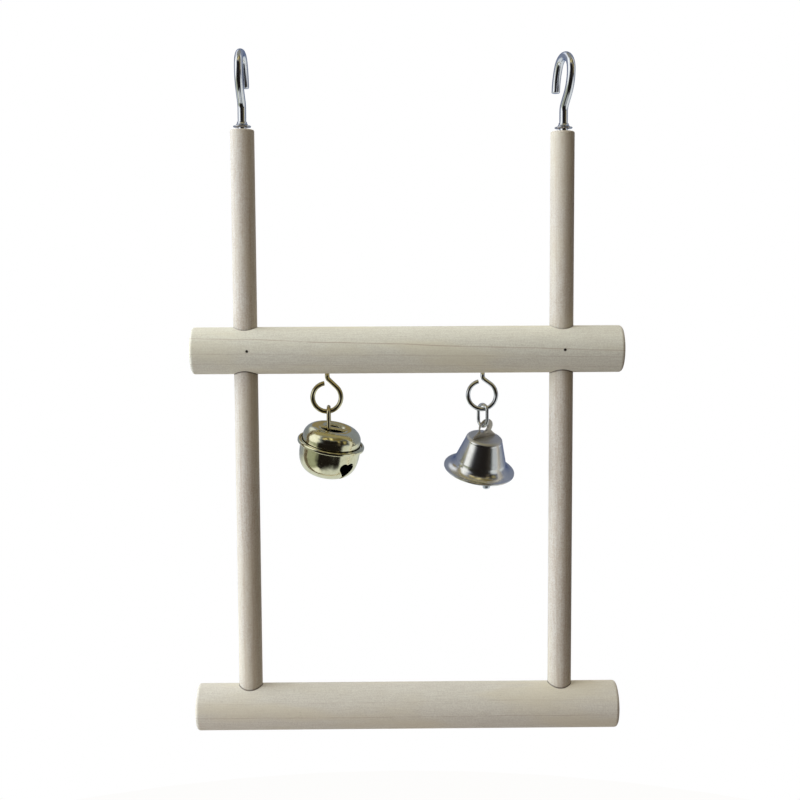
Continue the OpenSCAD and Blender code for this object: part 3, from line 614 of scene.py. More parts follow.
def wood(name, axis, pale, deep, lines, seam_shadows=()):
    """Bare sanded hardwood with its grain along an axis: fibres, pores, patches, growth lines and any
    painted shadow where a rod enters a perch.
    """
    material, tree, shader = new_material(name)
    fine_stretch, wide_stretch = [1.0, 1.0, 1.0], [1.0, 1.0, 1.0]
    fine_stretch[axis] = FIBRE_STRETCH
    wide_stretch[axis] = PATCH_STRETCH
    fibre = noise(tree, in_millimetres(tree, fine_stretch), scale=2.4, detail=4.0, roughness=0.62)
    speck = noise(tree, in_millimetres(tree), scale=2.1, detail=3.0, roughness=0.6)
    patch = noise(tree, in_millimetres(tree, wide_stretch), scale=0.11)
    tone = maths(tree, "ADD", maths(tree, "MULTIPLY", fibre, FIBRE_SHARE),
                 maths(tree, "MULTIPLY", speck, 1 - FIBRE_SHARE))
    colour = mixed(tree, ranged(tree, tone, 0.34, 0.66, 0, 1), deep, pale)
    warm = tuple(c * w for c, w in zip(pale, WARM_SHARES))
    colour = mixed(tree, ranged(tree, patch, 0.42, 0.68, 0, 0.55), colour, warm)
    parts = add(tree, "ShaderNodeSeparateXYZ")
    tree.links.new(in_millimetres(tree), parts.inputs[0])
    along, across = parts.outputs[axis], parts.outputs[2 if axis == 0 else 1]
    gaps = noise(tree, in_millimetres(tree, wide_stretch), scale=0.35, detail=3.0)
    broken = ranged(tree, gaps, 0.36, 0.6, 0.5, 1)
    for level, slope, width, strength in lines:
        line = growth_line(tree, across, along, level, slope, width, strength)
        colour = mixed(tree, maths(tree, "MULTIPLY", line, broken), colour, GROWTH_TONE)
    pit = noise(tree, in_millimetres(tree, wide_stretch), scale=3.6, detail=1.0)
    pores = ranged(tree, pit, 0.70, 0.80, 0, 0.35)
    colour = mixed(tree, pores, colour, PORE_TONE)
    # Painted shadow where the rod enters each perch, darker below the upper perch than above it
    for axis_z, above, below in seam_shadows:
        shade = painted_seam_shadow(tree, parts.outputs[1], parts.outputs[2], axis_z, above, below)
        colour = mixed(tree, shade, colour, SEAM_SHADOW_TONE)
    on_end, end_tone = end_grain(tree, axis, deep)
    colour = mixed(tree, on_end, colour, end_tone)
    tree.links.new(colour, shader.inputs["Base Color"])
    tree.links.new(ranged(tree, tone, 0.3, 0.7, 0.78, 0.62), shader.inputs["Roughness"])
    shader.inputs["Specular IOR Level"].default_value = 0.3
    relief = maths(tree, "SUBTRACT", tone, maths(tree, "MULTIPLY", pores, 0.8))
    bumped(tree, shader, relief, distance=0.10, strength=0.55)
    return material


def satin_share(tree, place, start, amount):
    """A roughness that sets in at a height along the axis of a placed piece."""
    axis = (place.to_3x3() @ Vector((0, 0, 1))).normalized()
    height = add(tree, "ShaderNodeVectorMath", operation="DOT_PRODUCT")
    tree.links.new(in_millimetres(tree), height.inputs[0])
    height.inputs[1].default_value = axis
    level = place.to_translation().dot(axis) + start
    return ranged(tree, height.outputs["Value"], level, level + SATIN_EDGE, 0, amount)


def inside_shade_share(tree, centre):
    """The share of painted shade: one on the faces of a hollow piece that look at its middle, nothing on
    those that look away.
    """
    outward = add(tree, "ShaderNodeVectorMath", operation="SUBTRACT")
    tree.links.new(in_millimetres(tree), outward.inputs[0])
    outward.inputs[1].default_value = centre
    facing = add(tree, "ShaderNodeVectorMath", operation="DOT_PRODUCT")
    tree.links.new(outward.outputs[0], facing.inputs[0])
    tree.links.new(add(tree, "ShaderNodeTexCoord").outputs["Normal"], facing.inputs[1])
    return ranged(tree, facing.outputs["Value"], INSIDE_SHADE_DEEP, INSIDE_SHADE_EDGE, 1, 0)


def metal(name, colour, tint, tint_share, low_rough, high_rough, edge=(1.0, 1.0, 1.0), satin=None,
          hollow=None):
    """Plated or drawn metal: tarnish of another tint, a roughness that wanders, and its tint at the edge.

    A satin part starts at a height of a placed piece, and a hollow piece gets painted shade on its inside.
    """
    material, tree, shader = new_material(name)
    cloud = noise(tree, in_millimetres(tree), scale=0.55, detail=4.0, roughness=0.6)
    fine = noise(tree, in_millimetres(tree), scale=5.0, detail=3.0, roughness=0.6)
    tarnish = ranged(tree, cloud, 0.40, 0.68, 0, tint_share)
    surface = mixed(tree, tarnish, colour, tint)
    if hollow:
        # Painted shade on the faces that look into the hollow
        surface = mixed(tree, inside_shade_share(tree, hollow), surface, INSIDE_SHADE_TONE)
    tree.links.new(surface, shader.inputs["Base Color"])
    rough = ranged(tree, fine, 0.3, 0.7, low_rough, high_rough)
    if satin:
        rough = maths(tree, "MAXIMUM", rough, satin_share(tree, *satin))
    tree.links.new(rough, shader.inputs["Roughness"])
    shader.inputs["Metallic"].default_value = 1.0
    shader.inputs["Specular Tint"].default_value = (*edge, 1)
    height = maths(tree, "ADD", maths(tree, "MULTIPLY", cloud, 0.8), maths(tree, "MULTIPLY", fine, 0.2))
    bumped(tree, shader, height, distance=RELIEF_DEPTH, strength=0.6)
    return material


upper_wood = wood("upper_perch_wood", 0, PALE_WOOD, DEEP_WOOD, UPPER_LINES)
lower_wood = wood("lower_perch_wood", 0, LOWER_PALE_WOOD, LOWER_DEEP_WOOD, LOWER_LINES)
rod_wood = wood("rod_wood", 2, ROD_PALE_WOOD, ROD_DEEP_WOOD, ROD_LINES, ROD_SEAM_SHADOWS)
chrome = metal("hook_chrome", (0.82, 0.83, 0.85), (0.66, 0.68, 0.72), 0.3, 0.07, 0.13,
               edge=(0.50, 0.57, 0.72))
collar_chrome = metal("collar_chrome", (0.72, 0.73, 0.75), (0.50, 0.50, 0.52), 0.5, 0.14, 0.24,
                      edge=(0.50, 0.55, 0.66))
eye_brass = metal("eye_brass", (0.72, 0.66, 0.43), (0.44, 0.37, 0.19), 0.45, 0.08, 0.17,
                  edge=(0.75, 0.72, 0.55))
eye_nickel = metal("eye_nickel", (0.84, 0.85, 0.86), (0.50, 0.51, 0.52), 0.35, 0.06, 0.13,
                   edge=(0.66, 0.68, 0.72))
link_brass = metal("link_brass", (0.70, 0.62, 0.40), (0.40, 0.33, 0.18), 0.6, 0.14, 0.26,
                   edge=(0.75, 0.70, 0.55))
link_nickel = metal("link_metal", (0.78, 0.79, 0.79), (0.45, 0.46, 0.46), 0.5, 0.14, 0.28)
jingle_brass = metal("jingle_brass", (0.80, 0.77, 0.55), (0.60, 0.57, 0.35), 0.5, 0.08, 0.16,
                     hollow=JINGLE_PLACE.to_translation())
pellet_steel = metal("pellet_steel", (0.45, 0.44, 0.43), (0.28, 0.24, 0.20), 0.5, 0.25, 0.45)
bell_nickel = metal("bell_nickel", (0.80, 0.79, 0.76), (0.68, 0.66, 0.62), 0.4, 0.15, 0.25,
                    edge=(0.42, 0.48, 0.66),
                    satin=(BELL_PLACE, BELL_H - CROWN_SATIN_DROP, CROWN_SATIN_ROUGHNESS))
tab_steel = metal("tab_steel", (0.46, 0.43, 0.38), (0.30, 0.28, 0.25), 0.5, 0.26, 0.40)
clapper_steel = metal("clapper_steel", (0.78, 0.83, 0.90), (0.60, 0.63, 0.68), 0.4, 0.35, 0.50)
brad_steel = metal("brad_steel", (0.09, 0.07, 0.06), (0.05, 0.035, 0.03), 0.6, 0.35, 0.55)

for node, material in (("upper_perch", upper_wood), ("lower_perch", lower_wood),
                       ("left_rod", rod_wood), ("right_rod", rod_wood)):
    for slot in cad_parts[node].material_slots:
        slot.link = "DATA"
        slot.material = material


# Pieces

def screw_profile(neck_r, neck_len, core_r, crest_r, pitch, length):
    """A screw under zero: neck, thread ridges and a point."""
    ridges = int((length - neck_len - 2 * core_r) / pitch)
    crest_share = 0.2
    rise = pitch * (1 - crest_share) / 2
    profile = [(0, 0), (neck_r, 0), (neck_r, -neck_len)]
    for i in range(ridges):
        z = -neck_len - i * pitch
        profile += [(core_r, z - APART), (crest_r, z - rise),
                    (crest_r, z - pitch + rise), (core_r, z - pitch)]
    return profile + [(core_r, -length + 2 * core_r), (0, -length)]


def collar_profile():
    """The stamped skirt round a hook's shank: its rim, its outside up to the bore, and its inside."""
    bore = HOOK_WIRE_D / 2 + COLLAR_BORE_GAP
    neck, rim = bore + COLLAR_WALL / 2, COLLAR_D / 2
    rise = COLLAR_H - COLLAR_WALL
    outer_edge, inner_edge = rim - COLLAR_EDGE, rim - COLLAR_WALL
    bends = [math.radians(90 * i / COLLAR_STEPS) for i in range(COLLAR_STEPS + 1)]
    outside = [(outer_edge - (outer_edge - neck) * math.sin(a), COLLAR_WALL + rise * (1 - math.cos(a)))
               for a in bends]
    inside = [(inner_edge - (inner_edge - bore) * math.sin(a), rise * (1 - math.cos(a)))
              for a in reversed(bends)]
    return ([(outer_edge, 0), (rim, COLLAR_EDGE), (rim, COLLAR_WALL - COLLAR_EDGE)] + outside
            + [(bore, COLLAR_H)] + inside)


def cup_hook(side, rod_x, rod_top):
    gap = HOOK_COLLAR_GAP + (LEFT_HOOK_RISE if side == "left" else 0)
    place = move(rod_x + HOOK_SHIFTS[side], 0, rod_top + gap)
    runs = [(0, HOOK_SHANK_LEN), (HOOK_LOWER_BEND_R, -HOOK_LOWER_BEND_ANGLE), (0, HOOK_SLOPE_LEN),
            (HOOK_SIDE_R, HOOK_SIDE_BEND_ANGLE), (HOOK_TOP_R, HOOK_TOP_BEND_ANGLE),
            (HOOK_TIP_R, HOOK_TIP_BEND_ANGLES[side])]
    wire = wire_mesh(wire_path(runs), HOOK_WIRE_D / 2, end_round=HOOK_END_ROUND)
    screw = lathe_mesh(screw_profile(HOOK_WIRE_D / 2, gap + HOOK_PITCH, HOOK_CORE_D / 2, HOOK_WIRE_D / 2,
                                     HOOK_PITCH, gap + HOOK_SCREW_LEN), sides=64)
    pose = turn(HOOK_LEANS[side], "Y") @ turn(HOOK_TURNS[side], "Z")
    mesh = joined((*wire, pose), (*screw, move(0, 0, APART)))
    piece(side + "_hook_wire", mesh, place, chrome, side + "_cup_hook", side + "_hook")
    collar = lathe_mesh(collar_profile(), closed=True, sides=96)
    piece(side + "_collar_sheet", collar, place @ move(0, 0, COLLAR_SLIDES[side]), collar_chrome,
          side + "_cup_hook", side + "_hook_collar")


def brad(side, rod_x):
    r = BRAD_D / 2
    shank_r = r * BRAD_SHANK_SHARE
    profile = ([(0, BRAD_HEAD_H * BRAD_HEAD_DIP_SHARE)]
               + arc(r - BRAD_HEAD_H, 0, BRAD_HEAD_H, 90, 0, 5) + [(r, -BRAD_RIM_H)]
               + [(shank_r, -BRAD_NECK_LEN - BRAD_RING_STEP * k) for k in range(BRAD_RINGS)]
               + [(shank_r, -BRAD_LEN + BRAD_POINT_LEN), (r * BRAD_TIP_SHARE, -BRAD_LEN + BRAD_TIP_LEN),
                  (0, -BRAD_LEN)])
    place = (move(rod_x + BRAD_SHIFTS[side], -PERCH_D / 2 + BRAD_RECESS + BRAD_HEAD_H, UPPER_AXIS_Z)
             @ turn(90, "X"))
    piece(side + "_brad_nail", lathe_mesh(profile, sides=32), place, brad_steel, "frame", side + "_brad")


def screw_eye(kind, material):
    wire_r = EYE_WIRES[kind] / 2
    stem = EYE_PITCH + EYE_NECK_LENS[kind]
    runs = eye_runs(stem, EYE_RADII[kind], EYE_ENTRY_ANGLES[kind], EYE_END_ANGLES[kind], EYE_BEND_R,
                    EYE_RING_SHIFT)
    wire = wire_mesh(wire_path(runs), wire_r, end_round=EYE_END_ROUND)
    screw = lathe_mesh(screw_profile(wire_r + APART, 2 * EYE_PITCH, wire_r - EYE_RIDGE_H, wire_r, EYE_PITCH,
                                     EYE_SCREW_LEN), sides=48)
    place = move(EYE_OFFSETS[kind], 0, UPPER_AXIS_Z - PERCH_D / 2) @ turn(180, "X")
    mesh = joined((*wire, move(0, 0, -EYE_PITCH)), (*screw, STILL))
    piece(kind + "_eye_wire", mesh, place, material, "frame", kind + "_eye")


def link(name, node, body, place, width, height, wire_d, material):
    arc_r = (width - wire_d) / 2
    side_len = height - wire_d - 2 * arc_r
    path = wire_path([(arc_r, 180), (0, side_len), (arc_r, 180), (0, side_len)], (-arc_r, -arc_r, 0.0))
    piece(name, wire_mesh(path, wire_d / 2, closed=True), place, material, body, node)


def heart_outline(top_z):
    """A heart standing on its point in XZ, its lobes' top at top_z."""
    lobe_r = JINGLE_HEART_W * HEART_LOBE_SHARE
    lobe_x = JINGLE_HEART_W / 2 - lobe_r
    to_point = JINGLE_HEART_H - lobe_r
    notch = math.degrees(math.acos(-lobe_x / lobe_r))
    touch = math.degrees(math.atan2(-to_point, -lobe_x) + math.acos(lobe_r / math.hypot(lobe_x, to_point)))
    lobe = arc(lobe_x, top_z - lobe_r, lobe_r, notch, touch, 20)
    return lobe + [(0, top_z - JINGLE_HEART_H)] + [(-x, z) for x, z in reversed(lobe[1:])]


def strap_mesh():
    """The bar across the crown opening, with rounded edges all along."""
    wall, half, corner = JINGLE_WALL, JINGLE_STRAP_W / 2, JINGLE_STRAP_CORNER_R
    reach = SHOULDER_X - JINGLE_STRAP_INSET
    middle_z = STRAP_TOP - wall / 2
    section = []
    for across, up, start in ((1, 1, 0), (-1, 1, 90), (-1, -1, 180), (1, -1, 270)):
        section += arc(across * (half - corner), up * (wall / 2 - corner), corner, start, start + 90, 4)
    count = len(section)
    points, faces = [], []
    for i in range(STRAP_STEPS + 1):
        x = -reach + 2 * reach * i / STRAP_STEPS
        points += [(x, y, middle_z + z) for y, z in section]
    for i in range(STRAP_STEPS):
        low, high = i * count, (i + 1) * count
        faces += [(low + k, low + (k + 1) % count, high + (k + 1) % count, high + k) for k in range(count)]
    faces += [tuple(range(count)), tuple(STRAP_STEPS * count + k for k in range(count))]
    return points, faces


def jingle_upper():
    wall, fillet, edge_r = JINGLE_WALL, JINGLE_FILLET_R, JINGLE_FLANGE_EDGE_R
    edge = JINGLE_FLANGE_R - JINGLE_ROLL_W - APART
    rim_turn = math.radians(DISH_ANGLE)
    rim_r = JINGLE_SHOULDER_R - wall / 2
    rim_x, rim_z = SHOULDER_X + rim_r * math.cos(rim_turn), SHOULDER_Z + rim_r * math.sin(rim_turn)
    profile = ([(JINGLE_UPPER_R - wall, APART), (edge, APART)]
               + arc(edge - edge_r, JINGLE_FLANGE_T - edge_r, edge_r, 0, 90, 3)
               + arc(JINGLE_UPPER_R + fillet, JINGLE_FLANGE_T + fillet, fillet, 270, 180, 5)
               + arc(SHOULDER_X, SHOULDER_Z, JINGLE_SHOULDER_R, 0, DISH_ANGLE, 44)
               + arc(rim_x, rim_z, wall / 2, DISH_ANGLE + 20, DISH_ANGLE + 160, 6)
               + arc(SHOULDER_X, SHOULDER_Z, JINGLE_SHOULDER_R - wall, DISH_ANGLE, 0, 28))
    mesh = joined((*lathe_mesh(profile, closed=True), STILL), (*strap_mesh(), STILL))
    piece("jingle_upper_dome", mesh, JINGLE_PLACE, jingle_brass, "jingle_bell", "jingle_upper_shell")


def bowl(radius, height, first, last, steps):
    """A deep round curve from the rim down to the axis, flatter at the bottom than a circle."""
    points = []
    share = 2 / BOWL_POWER
    for i in range(steps + 1):
        t = math.radians(first + (last - first) * i / steps)
        points.append((radius * max(0.0, math.cos(t)) ** share, -height * math.sin(t) ** share))
    return points


def jingle_lower():
    r, h, wall, t = JINGLE_LOWER_R, JINGLE_LOWER_H, JINGLE_WALL, JINGLE_FLANGE_T
    fillet, lip_r = JINGLE_FILLET_R, JINGLE_LIP_R
    top_r, low_r = JINGLE_ROLL_TOP_R, JINGLE_ROLL_LOW_R
    lip_out, lip_in = JINGLE_FLANGE_R - JINGLE_ROLL_W, JINGLE_FLANGE_R - 2 * JINGLE_ROLL_W
    profile = ([(r - wall, 0), (lip_out, 0), (lip_out, t + APART), (lip_in, t + APART)]
               + arc(lip_in + lip_r, 2 * t - lip_r, lip_r, 180, 90, 3)
               + arc(JINGLE_FLANGE_R - top_r, 2 * t - top_r, top_r, 85, 5, 8)
               + arc(JINGLE_FLANGE_R - low_r, -t + low_r, low_r, 0, -85, 7)
               + arc(r + fillet, -t - fillet, fillet, 90, 180, 5)
               + bowl(r, h, 9, 90, 56)
               + bowl(r - wall, h - wall, 90, 10, 40))
    shell = piece("jingle_lower_bowl", lathe_mesh(profile, closed=True, sides=192), JINGLE_PLACE,
                  jingle_brass, "jingle_bell", "jingle_lower_shell")
    slot_turn = JINGLE_PLACE @ turn(JINGLE_SLOT_TURN, "Z")
    slot_top = -JINGLE_HEART_DROP - JINGLE_HEART_H + JINGLE_HEART_W * HEART_LOBE_SHARE
    half, low = JINGLE_SLOT_W / 2, -h - CUT_OVER
    slot_outline = [(-half, slot_top), (half, slot_top), (half, low), (-half, low)]
    cut(shell, cutter(heart_outline(-JINGLE_HEART_DROP), r + CUT_OVER, slot_turn),
        cutter(slot_outline, r - wall, slot_turn))


def jingle_pellet():
    """The loose ball, with the shallow belt that pressing leaves round its middle."""
    pellet_r = PELLET_D / 2
    pellet_z = -JINGLE_LOWER_H + JINGLE_WALL + PELLET_GAP + pellet_r
    ball = [(max(0.0, x) - (PELLET_SEAM_DEPTH if abs(z) < PELLET_SEAM_H else 0.0), z)
            for x, z in arc(0, 0, pellet_r, -90, 90, 40)]
    piece("jingle_pellet_ball", lathe_mesh(ball, sides=64), JINGLE_PLACE @ move(0, 0, pellet_z),
          pellet_steel, "pellet", "jingle_pellet")


def flare(mouth_r, waist_r, steps):
    """The curve from the bell's lip in to its waist."""
    points = []
    for i in range(steps + 1):
        a = math.radians(90 * i / steps)
        points.append((mouth_r - (mouth_r - waist_r) * math.sin(a),
                       BELL_LIP_H + (BELL_WAIST_H - BELL_LIP_H) * (1 - math.cos(a))))
    return points


def side_wall(radius_low, radius_high, z_low, z_high, steps):
    """The straight side of the bell, with the faint rings that spinning leaves."""
    points = []
    for i in range(1, steps):
        share = i / steps
        ripple = BELL_RIPPLE_H * math.sin(i * BELL_RIPPLE_TURN)
        points.append((radius_low + (radius_high - radius_low) * share + ripple,
                       z_low + (z_high - z_low) * share))
    return points


def hand_bell():
    wall, lip, inner_lip = BELL_WALL, BELL_LIP_R, BELL_INNER_LIP_R
    side_x, side_z = BELL_CROWN_R - BELL_SHOULDER_R, BELL_H - BELL_SHOULDER_R
    mouth_in, waist_in, crown_in = (r - wall for r in (BELL_MOUTH_R, BELL_WAIST_R, BELL_CROWN_R))
    outer = (arc(BELL_MOUTH_R - lip, lip, lip, -90, 0, 6) + flare(BELL_MOUTH_R, BELL_WAIST_R, 30)
             + side_wall(BELL_WAIST_R, BELL_CROWN_R, BELL_WAIST_H, side_z, 36)
             + arc(side_x, side_z, BELL_SHOULDER_R, 0, 90, 16) + [(0, BELL_H)])
    inner_side = side_wall(waist_in, crown_in, BELL_WAIST_H, side_z, 36)
    inner = ([(0, BELL_H - wall)] + arc(side_x, side_z, BELL_SHOULDER_R - wall, 90, 0, 8)
             + list(reversed(inner_side)) + list(reversed(flare(mouth_in, waist_in, 30)))
             + [(mouth_in + BELL_INNER_LIP_STEP, BELL_INNER_LIP_H)]
             + arc(mouth_in + inner_lip, inner_lip, inner_lip, 200, 270, 3))
    piece("hand_bell_spun_shell", lathe_mesh(outer + inner, sides=192), BELL_PLACE, bell_nickel, "hand_bell",
          "bell_shell")


def rounded(corners, radius, steps=6, most=0.45):
    """An outline with each corner rounded, over no more than that share of its sides."""
    points = []
    count = len(corners)
    for i, (x, z) in enumerate(corners):
        corner = Vector((x, z))
        before = Vector(corners[i - 1]) - corner
        after = Vector(corners[(i + 1) % count]) - corner
        half = before.angle(after) / 2
        reach = min(radius / math.tan(half), before.length * most, after.length * most)
        start, end = corner + before.normalized() * reach, corner + after.normalized() * reach
        for k in range(steps + 1):
            t = k / steps
            points.append(tuple((1 - t) ** 2 * start + 2 * t * (1 - t) * corner + t ** 2 * end))
    return points


def hanger_tab():
    top_r = TAB_TOP_W / 2
    shoulder_z = TAB_H - top_r
    angle = math.degrees(math.atan2((TAB_W - TAB_TOP_W) / 2, shoulder_z - TAB_T))
    dome_outline = arc(-TAB_SHIFT, BELL_H + shoulder_z, top_r, -angle, 180 + angle, 40)
    left, right = -TAB_SHIFT - TAB_W / 2, -TAB_SHIFT + TAB_W / 2
    base, half, tip = BELL_H, TONGUE_W / 2, BELL_H - BELL_WALL - TONGUE_H
    foot = rounded([(left, base + TAB_T), (left, base), (-half, base), (-half, tip),
                    (half, tip), (half, base), (right, base), (right, base + TAB_T)], TAB_CORNER_R)
    holes = [arc(-TAB_HOLE_SHIFT, BELL_H + TAB_HOLE_H, TAB_HOLE_D / 2, 0, 360, 48)[:-1],
             arc(0, TONGUE_HOLE_Z, TONGUE_HOLE_D / 2, 0, 360, 32)[:-1]]
    curve = bpy.data.curves.new("tab_outline", "CURVE")
    curve.dimensions = "2D"
    curve.fill_mode = "BOTH"
    for loop in [dome_outline + foot] + holes:
        spline = curve.splines.new("POLY")
        spline.points.add(len(loop) - 1)
        spline.use_cyclic_u = True
        for point, (x, z) in zip(spline.points, loop):
            point.co = (x, z, 0, 1)
    curve.extrude = TAB_T / 2 - TAB_BEVEL
    curve.bevel_depth = TAB_BEVEL
    curve.bevel_resolution = 3
    curve.offset = -TAB_BEVEL
    shape = bpy.data.objects.new("tab_outline", curve)
    bpy.context.scene.collection.objects.link(shape)
    depsgraph = bpy.context.evaluated_depsgraph_get()
    data = bpy.data.meshes.new_from_object(shape.evaluated_get(depsgraph))
    bpy.data.objects.remove(shape)
    data.transform(Matrix.Scale(MM, 4) @ BELL_PLACE @ turn(90, "X"))
    obj = bpy.data.objects.new("bell_tab_plate", data)
    bpy.context.scene.collection.objects.link(obj)
    weld(data)
    dress(obj, tab_steel, "hand_bell", "bell_hanger_tab")


def weld(data):
    """Joins the points that lie on each other."""
    shape = bmesh.new()
    shape.from_mesh(data)
    bmesh.ops.remove_doubles(shape, verts=shape.verts, dist=WELD_GAP * MM)
    shape.to_mesh(data)
    shape.free()


def clapper():
    drop = eye_drop(CLAPPER_EYE_R, CLAPPER_ENTRY_ANGLE, CLAPPER_BEND_R, 0)
    socket = BOB_H / 3
    stem = CLAPPER_LEN - BOB_H + socket - drop
    runs = eye_runs(stem, CLAPPER_EYE_R, CLAPPER_ENTRY_ANGLE, CLAPPER_END_ANGLE, CLAPPER_BEND_R, 0)
    wire = wire_mesh(wire_path(runs), CLAPPER_WIRE_D / 2, end_round=CLAPPER_END_ROUND)
    place = CLAPPER_PLACE @ move(0, 0, -drop - stem) @ turn(90, "Z")
    piece("clapper_bent_wire", wire, place, clapper_steel, "clapper", "clapper_wire")
    bob_r = BOB_D / 2
    neck = CLAPPER_WIRE_D / 2 + APART
    profile = ([(0, 0)] + arc(bob_r - BOB_CORNER_R, BOB_CORNER_R, BOB_CORNER_R, -90, 0, 10)
               + arc(bob_r - BOB_TOP_R, BOB_H - BOB_TOP_R, BOB_TOP_R, 0, 90, 6)
               + [(neck, BOB_H), (neck, BOB_H - socket), (0, BOB_H - socket)])
    piece("clapper_bob_drop", lathe_mesh(profile, sides=64), CLAPPER_PLACE @ move(0, 0, -CLAPPER_LEN),
          clapper_steel, "clapper", "clapper_bob")


cup_hook("left", LEFT_ROD_X, LEFT_ROD_TOP)
cup_hook("right", RIGHT_ROD_X, RIGHT_ROD_TOP)
brad("left", LEFT_ROD_X)
brad("right", RIGHT_ROD_X)
screw_eye("brass", eye_brass)
screw_eye("nickel", eye_nickel)
link("jingle_link_loop", "jingle_link", "jingle_bell_link",
     move(JINGLE_LINK_X, 0, JINGLE_LINK_TOP) @ turn(90, "Z"),
     JINGLE_LINK_W, JINGLE_LINK_H, JINGLE_LINK_WIRE_D, link_brass)
link("bell_link_loop", "bell_link", "hand_bell_link",
     move(BELL_LINK_X, 0, BELL_LINK_TOP) @ turn(TAB_TURN + 90, "Z"),
     BELL_LINK_W, BELL_LINK_H, BELL_LINK_WIRE_D, link_nickel)
jingle_upper()
jingle_lower()
jingle_pellet()
hand_bell()
hanger_tab()
clapper()


# Camera, as the photograph was taken
CAMERA_PLACE = (-4.596, -392.94, UPPER_AXIS_Z + 15.374)
CAMERA_ANGLES = (85.2578, 0.3024, -0.4992)
CAMERA_LENS = 51.75
CAMERA_SENSOR = 36
CAMERA_CLIP = 0.01
camera_data = bpy.data.cameras.new("camera")
camera_data.lens = CAMERA_LENS
camera_data.sensor_width = CAMERA_SENSOR
camera_data.clip_start = CAMERA_CLIP
camera = bpy.data.objects.new("camera", camera_data)
camera.location = Vector(CAMERA_PLACE) * MM
camera.rotation_euler = [math.radians(a) for a in CAMERA_ANGLES]
bpy.context.scene.collection.objects.link(camera)
bpy.context.scene.camera = camera


# Studio, in metres
SKY = (0.044, 0.026, 0.012, 1)
STUDIO_MIDDLE = (0, 0, -0.11)
FLOOR_R = 0.9
FLOOR_Z = -0.62
FLOOR_SIDES = 64
SURROUND_R = 6.0
ROOM_R = 4.0
UNDER_PERCH = (UPPER_AXIS_Z - PERCH_D / 2) * MM

# Each lamp: its place, size, power and colour
LAMPS = (
    ("left", (-0.85, -0.10, 0.05), (1.1, 1.3), 16.8, (0.87, 0.975, 1.17)),
    ("top", (-0.1, -0.2, 0.74), (1.0, 1.0), 6.3, (1.0, 0.985, 0.95)),
    ("low", (-0.2, -0.35, -0.55), (0.6, 0.6), 1.3, (1.0, 0.95, 0.96)),
    ("back", (0.45, 0.86, 0.08), (0.9, 1.1), 5.0, (0.97, 0.99, 1.06)),
)

# What the bells mirror of the lit underside of the perch. Each card: its place, size and tone
BOUNCE_CARDS = (
    ("crown_bounce", (JINGLE_LINK_X * MM, 0.031, UNDER_PERCH), (0.024, 0.026), (0.27, 0.225, 0.13)),
    ("skirt_bounce", (0, -0.006, UNDER_PERCH - 0.0006), (0.086, 0.010), (0.34, 0.295, 0.16)),
)

# What the metals mirror: azimuth from the camera, plus to the right, and height, in degrees, each with its
# soft edge, and the colour there
ROOM_TONE = (0.25, 0.28, 0.355)
ROOM_PATCHES = (
    (-400, 400, 5, -200, -12, 8, (0.70, 0.74, 0.75)),
    (-158, -98, 12, 38, 68, 10, (0.92, 0.95, 1.00)),
    (-98, -44, 8, -60, 68, 12, (1.10, 1.13, 1.13)),
    (-100, -44, 6, -46, -8, 8, (0.36, 0.39, 0.30)),
    (-30, 76, 12, 36, 84, 10, (0.17, 0.135, 0.05)),
    (-54, 50, 7, -58, 2, 10, (0.012, 0.010, 0.009)),
    (-34, 74, 8, -6, 34, 8, (0.012, 0.010, 0.009)),
    (80, 100, 7, -50, 60, 12, (0.80, 0.80, 0.76)),
    (30, 42, 6, -10, 26, 10, (0.12, 0.10, 0.07)),
    (-26, -12, 5, 36, 48, 5, (0.90, 0.76, 0.38)),
    (4, 18, 5, 38, 62, 6, (0.95, 0.84, 0.45)),
    (32, 40, 4, 20, 34, 5, (0.60, 0.50, 0.24)),
    (56, 66, 4, 6, 28, 6, (0.42, 0.36, 0.17)),
    (-400, 400, 5, 60, 84, 8, (0.26, 0.25, 0.20)),
)
WOBBLE_SCALE = 3.4
WOBBLE_DETAIL = 3.0
WOBBLE_DEGREES = 26.0


def glowing(name, colour, strength):
    material = bpy.data.materials.new(name)
    material.use_nodes = True
    tree = material.node_tree
    tree.nodes.clear()
    light = add(tree, "ShaderNodeEmission", Color=(*colour, 1), Strength=strength)
    out = add(tree, "ShaderNodeOutputMaterial")
    tree.links.new(light.outputs[0], out.inputs["Surface"])
    return material


def card(name, centre, size, facing, material):
    """A flat studio card that faces a point."""
    data = bpy.data.meshes.new(name)
    w, h = size[0] / 2, size[1] / 2
    data.from_pydata([(-w, -h, 0), (w, -h, 0), (w, h, 0), (-w, h, 0)], [], [(0, 1, 2, 3)])
    data.materials.append(material)
    obj = bpy.data.objects.new(name, data)
    obj.location = centre
    obj.rotation_euler = (Vector(facing) - Vector(centre)).to_track_quat("Z", "Y").to_euler()
    bpy.context.scene.collection.objects.link(obj)
    return obj


def soft_light(name, centre, size, facing, power, colour):
    data = bpy.data.lights.new(name, "AREA")
    data.shape = "RECTANGLE"
    data.size, data.size_y = size
    data.energy = power
    data.color = colour
    obj = bpy.data.objects.new(name, data)
    obj.location = centre
    obj.rotation_euler = (Vector(centre) - Vector(facing)).to_track_quat("Z", "Y").to_euler()
    bpy.context.scene.collection.objects.link(obj)
    return obj


def dome(name, radius, material):
    data = bpy.data.meshes.new(name)
    shape = bmesh.new()
    bmesh.ops.create_icosphere(shape, subdivisions=4, radius=radius)
    shape.to_mesh(data)
    shape.free()
    data.materials.append(material)
    obj = bpy.data.objects.new(name, data)
    bpy.context.scene.collection.objects.link(obj)
    return obj


def lights_nothing(obj):
    """Leaves an object to the camera alone, so that it lights nothing."""
    obj.visible_diffuse = False
    obj.visible_glossy = False
    obj.visible_transmission = False
    obj.visible_volume_scatter = False
    obj.visible_shadow = False


def only_mirrored(obj):
    """Leaves an object to the mirrors of the metals, unseen by the camera."""
    lights_nothing(obj)
    obj.visible_camera = False
    obj.visible_glossy = True


